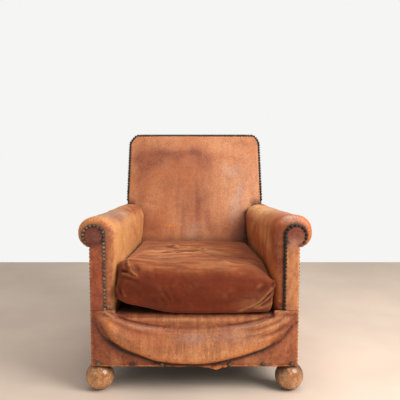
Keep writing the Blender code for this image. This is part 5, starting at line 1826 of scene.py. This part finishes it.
        # painted top light: faces that look up are lighter, partly as brushed nap, less so at the back and the right
        facing_up = np.array([vert.normal.z for vert in bm.verts])
        brushed = ease(facing_up, 0.42, 0.94) * (0.95 - 0.45 * ease(y, 0.28, 0.5))
        brushed *= 1 - 0.45 * ease(x, 0.1, 0.23) * ease(y, 0.05, 0.2)
        pale = marks(1000 * x, 1000 * y, (1, -150, 95, 170, 120), (0.65, 0, 90, 220, 100), (0.35, 100, 130, 30, 40))
        pale = pale * top + 0.35 * hump(x, 0.2, 0.06) * hump(z, 0.305, 0.03) * ease(-y, -0.02, 0.01)
        # painted shade at the sides against the arms and at the bottom on the deck; random dirt is added below
        grime = 0.55 * ease(abs(x), 0.24, 0.265) * ease(z, 0.42, 0.33) + 0.5 * ease(z, 0.285, 0.268)
        spots.store(brushed=brushed + 0.1 * ease(-x, 0.05, 0.25), pale=pale,
                    grime=grime + 0.25 * clamp(spots.rough(16, 3)))


# Feet
@dataclass
class BallFoot:
    """Turned ball foot, bruised and rubbed bare."""

    side: Side
    finishes: dict[str, Material]
    radius: float = 0.0475
    sink: float = 0.0015
    top: float = 0.0885

    def build(self) -> None:
        """Build the foot by spinning its profile."""
        low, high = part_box(f"front_foot_{self.side.word}")
        middle = Vector(((low.x + high.x) / 2, (low.y + high.y) / 2, 0))
        centre = self.radius - self.sink
        start, end = math.asin((self.top - centre) / self.radius), math.asin(-centre / self.radius)
        bm = bmesh.new()
        profile = [bm.verts.new((0, 0, self.top))]
        for step in range(29):
            angle = blend(start, end, step / 28)
            reach = self.radius - (0.0005 * hump(step, 3.2, 0.55) + 0.0004 * hump(step, 24, 0.6))
            profile.append(bm.verts.new((reach * math.cos(angle), 0, centre + reach * math.sin(angle))))
        profile[-1].co.z = 0
        profile.append(bm.verts.new((0, 0, 0)))
        edges = [bm.edges.new(pair) for pair in zip(profile, profile[1:])]
        bmesh.ops.spin(bm, geom=profile + edges, cent=(0, 0, 0), axis=(0, 0, 1), angle=2 * math.pi, steps=56,
                       use_merge=True)
        bmesh.ops.remove_doubles(bm, verts=bm.verts, dist=0.00002)
        bmesh.ops.translate(bm, verts=bm.verts, vec=middle)
        bm.normal_update()
        bmesh.ops.recalc_face_normals(bm, faces=bm.faces)
        bm.normal_update()
        rub, grime = [bm.verts.layers.float.new(name) for name in ("rub", "grime")]
        of = self.side.of
        moves = []
        for vert in bm.verts:
            height = vert.co.z
            side = ease(height, 0, 0.006) * ease(height, self.top, self.top - 0.005)
            dent = max(0, rough(vert.co, 55, 3 + self.side.value) - 0.32) * 0.004
            moves.append(-(dent + 0.0006 * rough(vert.co, 22, 1)) * side)
            vert[rub] = clamp(0.9 * hump(height, 0.03, 0.02) * (0.6 + rough(vert.co, 30, 4)) + 0.2)
            # painted shade on the sides turned away from the front; the right foot darker overall
            side_shade = ease(vert.normal.y, -0.75, -0.25) * of(0.4, 0.65) + of(0, 0.2)
            stain = 0.75 * ease(height, 0.055, 0.085) * ease(rough(vert.co, 26, 9), -0.25, 0.3)
            # also darker at the very top, under the frame, and at the foot
            vert[grime] = clamp(stain + side_shade + ease(height, 0.08, 0.0885) + 0.7 * ease(height, 0.014, 0))
        for vert, move in zip(bm.verts, moves):
            vert.co += vert.normal * move
        add_piece(f"ball_foot_{self.side.word}", bm, self.finishes["ball_foot_oak"],
                  [f"front_foot_{self.side.word}"])


# Carried-over solids
@dataclass
class Carcass:
    """The frame, webbing, springs, stuffing and lining, which keep their solids."""

    finishes: dict[str, Material]
    words: dict[str, str] = field(default_factory=lambda: {
        "upright": "stained_beech", "spring": "spring_wire", "webbing": "jute_fibre", "canvas": "jute_fibre",
        "stuffing": "stuffing_fibre", "dust_cover": "lining_cloth", "seat_deck": "deck_leather"})

    def dress(self) -> None:
        """Give every solid that still shows its finish."""
        shown = {name: node for name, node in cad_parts.items() if not node.hide_render}
        for name, node in shown.items():
            finish = next((finish for word, finish in self.words.items() if word in name), "frame_beech")
            node.data.materials.clear()
            node.data.materials.append(self.finishes[finish])
        LOG.info("solids kept: %d", len(shown))


# Studio
@dataclass(frozen=True)
class Studio:
    """Plain pale floor, soft light and the camera."""

    body: Lines
    floor_half: float = 1.57
    lens: float = 55.8
    shift_x: float = 0.01375
    eye: Pair = (1.97, 0.88)
    tilt: float = math.atan(75 / 620)

    def build_camera(self) -> None:
        """Add the camera at the chair's own viewing angle."""
        data = bpy.data.cameras.new("camera")
        data.sensor_width = 36
        data.lens = self.lens
        data.shift_x = self.shift_x
        camera = new_object("camera", data)
        camera.location = (0, -self.body.centre_y - self.eye[0], self.eye[1])
        camera.rotation_euler = (math.pi / 2 - self.tilt, 0, 0)
        bpy.context.scene.camera = camera

    def build_floor(self) -> None:
        """Add the floor."""
        bm = bmesh.new()
        bmesh.ops.create_grid(bm, x_segments=1, y_segments=1, size=self.floor_half)
        floor = new_object("floor", new_mesh("floor", bm))
        tree = Paint("pale_floor")
        tone = tree.window(tree.noise(tree.where, 2.5, 3), 0.3, 0.7)
        colour = tree.mix(tone, (0.66, 0.53, 0.43), (0.73, 0.59, 0.48))
        tree.tree.links.new(colour, tree.shader.inputs["Base Color"])
        tree.shader.inputs["Roughness"].default_value = 0.7
        floor.data.materials.append(tree.material)

    def add_light(self, name: str, place: Point, size: float, power: float, colour: Colour) -> None:
        """Add a square area light that faces the chair."""
        data = bpy.data.lights.new(name, 'AREA')
        data.shape = 'SQUARE'
        data.size = size
        data.energy = power
        data.color = colour
        light = new_object(name, data)
        light.location = place
        light.rotation_euler = (Vector((0, 0, 0.35)) - Vector(place)).to_track_quat('-Z', 'Y').to_euler()

    def build_lights(self) -> None:
        """Add the soft key, the fill and the pale surroundings."""
        self.add_light("key", (1.9, -1.4, 1.75), 1.5, 74, (1, 0.98, 0.95))
        self.add_light("overhead", (0.2, -0.2, 2.7), 2.2, 30, (1, 0.99, 0.97))
        self.add_light("fill", (-1.8, -2.2, 1.3), 2, 7, (0.97, 0.98, 1))
        world = bpy.data.worlds.new("surroundings")
        world.use_nodes = True
        background = world.node_tree.nodes["Background"]
        background.inputs["Color"].default_value = (0.9, 0.9, 0.885, 1)
        background.inputs["Strength"].default_value = 0.46
        tree = Tree(world.node_tree)
        seen = tree.add("LightPath").outputs["Is Camera Ray"]
        shown = tree.add("Background", {"Color": (0.91, 0.912, 0.905, 1), "Strength": 1})
        mixed = tree.add("MixShader", {0: seen, 1: background.outputs[0], 2: shown.outputs[0]})
        world.node_tree.links.new(mixed.outputs[0], world.node_tree.nodes["World Output"].inputs["Surface"])
        bpy.context.scene.world = world
        bpy.context.scene.view_settings.view_transform = 'Standard'


def build_finishes() -> dict[str, Material]:
    """Build every finish.

    Returns:
        The materials by name.
    """
    leathers = [
        Leather("arm_leather_left", (0.6, 0.245, 0.08), (0.8, 0.44, 0.18), (0.27, 0.064, 0.028), seed=1,
                rubbed=(0.72, 0.25, 0.055), stain=0.3, streak=(8, 22, 9), streaks=0.16, cracks=0.2),
        Leather("arm_leather_right", (0.5, 0.13, 0.032), (0.88, 0.5, 0.22), (0.2, 0.03, 0.009), seed=5,
                rubbed=(0.62, 0.17, 0.036), fade=0.35, stain=0.34, streak=(8, 20, 9), streaks=0.16, cracks=0.2),
        Leather("back_leather", (0.49, 0.158, 0.053), (0.6, 0.27, 0.12), (0.235, 0.061, 0.027), seed=9,
                rubbed=(0.7, 0.21, 0.04), stain=0.4, streak=(46, 12, 9), streaks=0.17, cracks=0.15),
        Leather("apron_leather", (0.53, 0.168, 0.058), (0.68, 0.31, 0.13), (0.205, 0.041, 0.0155), seed=13,
                rubbed=(0.74, 0.23, 0.045), stain=0.62, streak=(62, 30, 12), drawn=(1.9, 1, 0.55), streaks=0.4,
                cracks=0.5),
        Leather("facing_leather_left", (0.39, 0.078, 0.029), (0.5, 0.15, 0.056), (0.12, 0.024, 0.015), seed=17,
                rubbed=(0.72, 0.23, 0.05), stain=0.3, size=0.1, streak=(60, 40, 30)),
        Leather("facing_leather_right", (0.45, 0.136, 0.049), (0.6, 0.25, 0.095), (0.17, 0.036, 0.022), seed=21,
                rubbed=(0.76, 0.3, 0.085), stain=0.3, size=0.1, streak=(60, 40, 30)),
        Leather("side_leather", (0.33, 0.1, 0.038), (0.48, 0.19, 0.08), (0.13, 0.036, 0.018), seed=25,
                rubbed=(0.6, 0.21, 0.055), stain=0.42, size=0.2, streak=(26, 26, 14), streaks=0.22),
        # the deck is coloured almost black as painted shade under the cushion
        Leather("deck_leather", (0.11, 0.055, 0.028), (0.22, 0.12, 0.06), (0.05, 0.022, 0.012), seed=29, stain=0.4),
    ]
    others = [
        Velvet(),
        Wood("ball_foot_oak", (0.33, 0.105, 0.03), (0.075, 0.02, 0.007), (0.73, 0.385, 0.17), wear=0.58,
             roughness=0.14, stretch=(26, 26, 20)),
        Wood("stained_beech", (0.135, 0.05, 0.021), (0.055, 0.02, 0.009), (0.3, 0.145, 0.07), wear=0.35,
             roughness=0.34),
        Wood("frame_beech", (0.36, 0.2, 0.1), (0.22, 0.11, 0.05), (0.5, 0.34, 0.2), wear=0.3),
        Metal("nail_bronze", (0.013, 0.01, 0.007), (0.52, 0.4, 0.27), (0.008, 0.009, 0.006),
              roughness=0.3, metallic=0.15, shine=0.22),
        Metal("spring_wire", (0.22, 0.22, 0.23), (0.5, 0.5, 0.5), (0.16, 0.08, 0.04), roughness=0.45),
        Fibre("jute_fibre", (0.4, 0.29, 0.16), (0.18, 0.11, 0.05)),
        Fibre("stuffing_fibre", (0.5, 0.43, 0.32), (0.24, 0.18, 0.11), threads=600, woven=False),
        Fibre("lining_cloth", (0.03, 0.028, 0.026), (0.01, 0.009, 0.009)),
    ]
    shared = Finishes()
    return {finish.name: finish.build(shared) for finish in leathers + others}


def build_nails(arms: Sequence[Arm], back: Back, apron: Apron, bronze: Material) -> None:
    """Build every row of nails.

    Args:
        arms: both arms.
        back: the back.
        apron: the apron.
        bronze: their metal.
    """
    for arm in arms:
        word, sign = arm.side.word, arm.side.value
        # the left facing row gets bright painted glints, the right one almost none
        NailRow(f"facing_nails_{word}", [f"arm_nails_{word}"], bronze, walk(arm.nail_line(), arm.nail_pitch),
                lambda p: (0, -1, 0), arm.side.of(0.0052, 0.0057), 0.0032, seed=11 + sign,
                bright=arm.side.of(0.55, 0.05)).build()
        NailRow(f"edge_nails_{word}", [f"side_nails_{word}"], bronze, walk(arm.side_line(), arm.side_pitch),
                lambda p, s=sign: (s, 0.1, 0), 0.0042, 0.0026, seed=15 + sign).build()
    NailRow("back_edge_nails", ["back_nails"], bronze, walk(back.nail_line(), back.nail_pitch), back.nail_outward,
            0.0056, seed=21, bright=0.1).build()
    NailRow("rear_edge_nails", ["rear_nails"], bronze, walk(back.rear_line(), back.rear_pitch),
            lambda p: (0, 1, -0.107), seed=27).build()
    spots = [(apron.body.world(x, apron.face_y - 0.0006, apron.nail_z), Vector((1, 0, 0))) for x in apron.nail_x]
    NailRow("hem_nails", [f"apron_nail_{n}" for n in range(1, 7)], bronze, spots, lambda p: (0, -1, 0), 0.0068, 0.005,
            segments=20, rings=6, seed=33, bright=0.36).build()


def main() -> None:
    """Build the chair's looks in order."""
    logging.basicConfig(level=logging.INFO, format="%(name)s: %(message)s")
    studio = Studio(BODY)
    studio.build_camera()
    studio.build_floor()
    studio.build_lights()
    finishes = build_finishes()
    full = Roll(x=0.3205, wide=0.0635, wide_behind=0.059, square=2.35,
                tall=(0.065, 0.0612, 0.0592, 0.059, 0.058, 0.0582, 0.059))
    arms = (Arm(Side.LEFT, BODY, Roll(x=0.3185), finishes), Arm(Side.RIGHT, BODY, full, finishes, hollow=0.006))
    for arm in arms:
        arm.build_cover()
        arm.build_padding()
        arm.build_facing()
        arm.build_outside()
        BallFoot(arm.side, finishes).build()
    back = Back(BODY, finishes)
    back.build_inside()
    back.build_border()
    back.build_outside()
    apron = Apron(BODY, finishes)
    apron.build()
    build_nails(arms, back, apron, finishes["nail_bronze"])
    SeatCushion(BODY, arms, finishes).build()
    Carcass(finishes).dress()


if __name__ == "__main__":
    main()
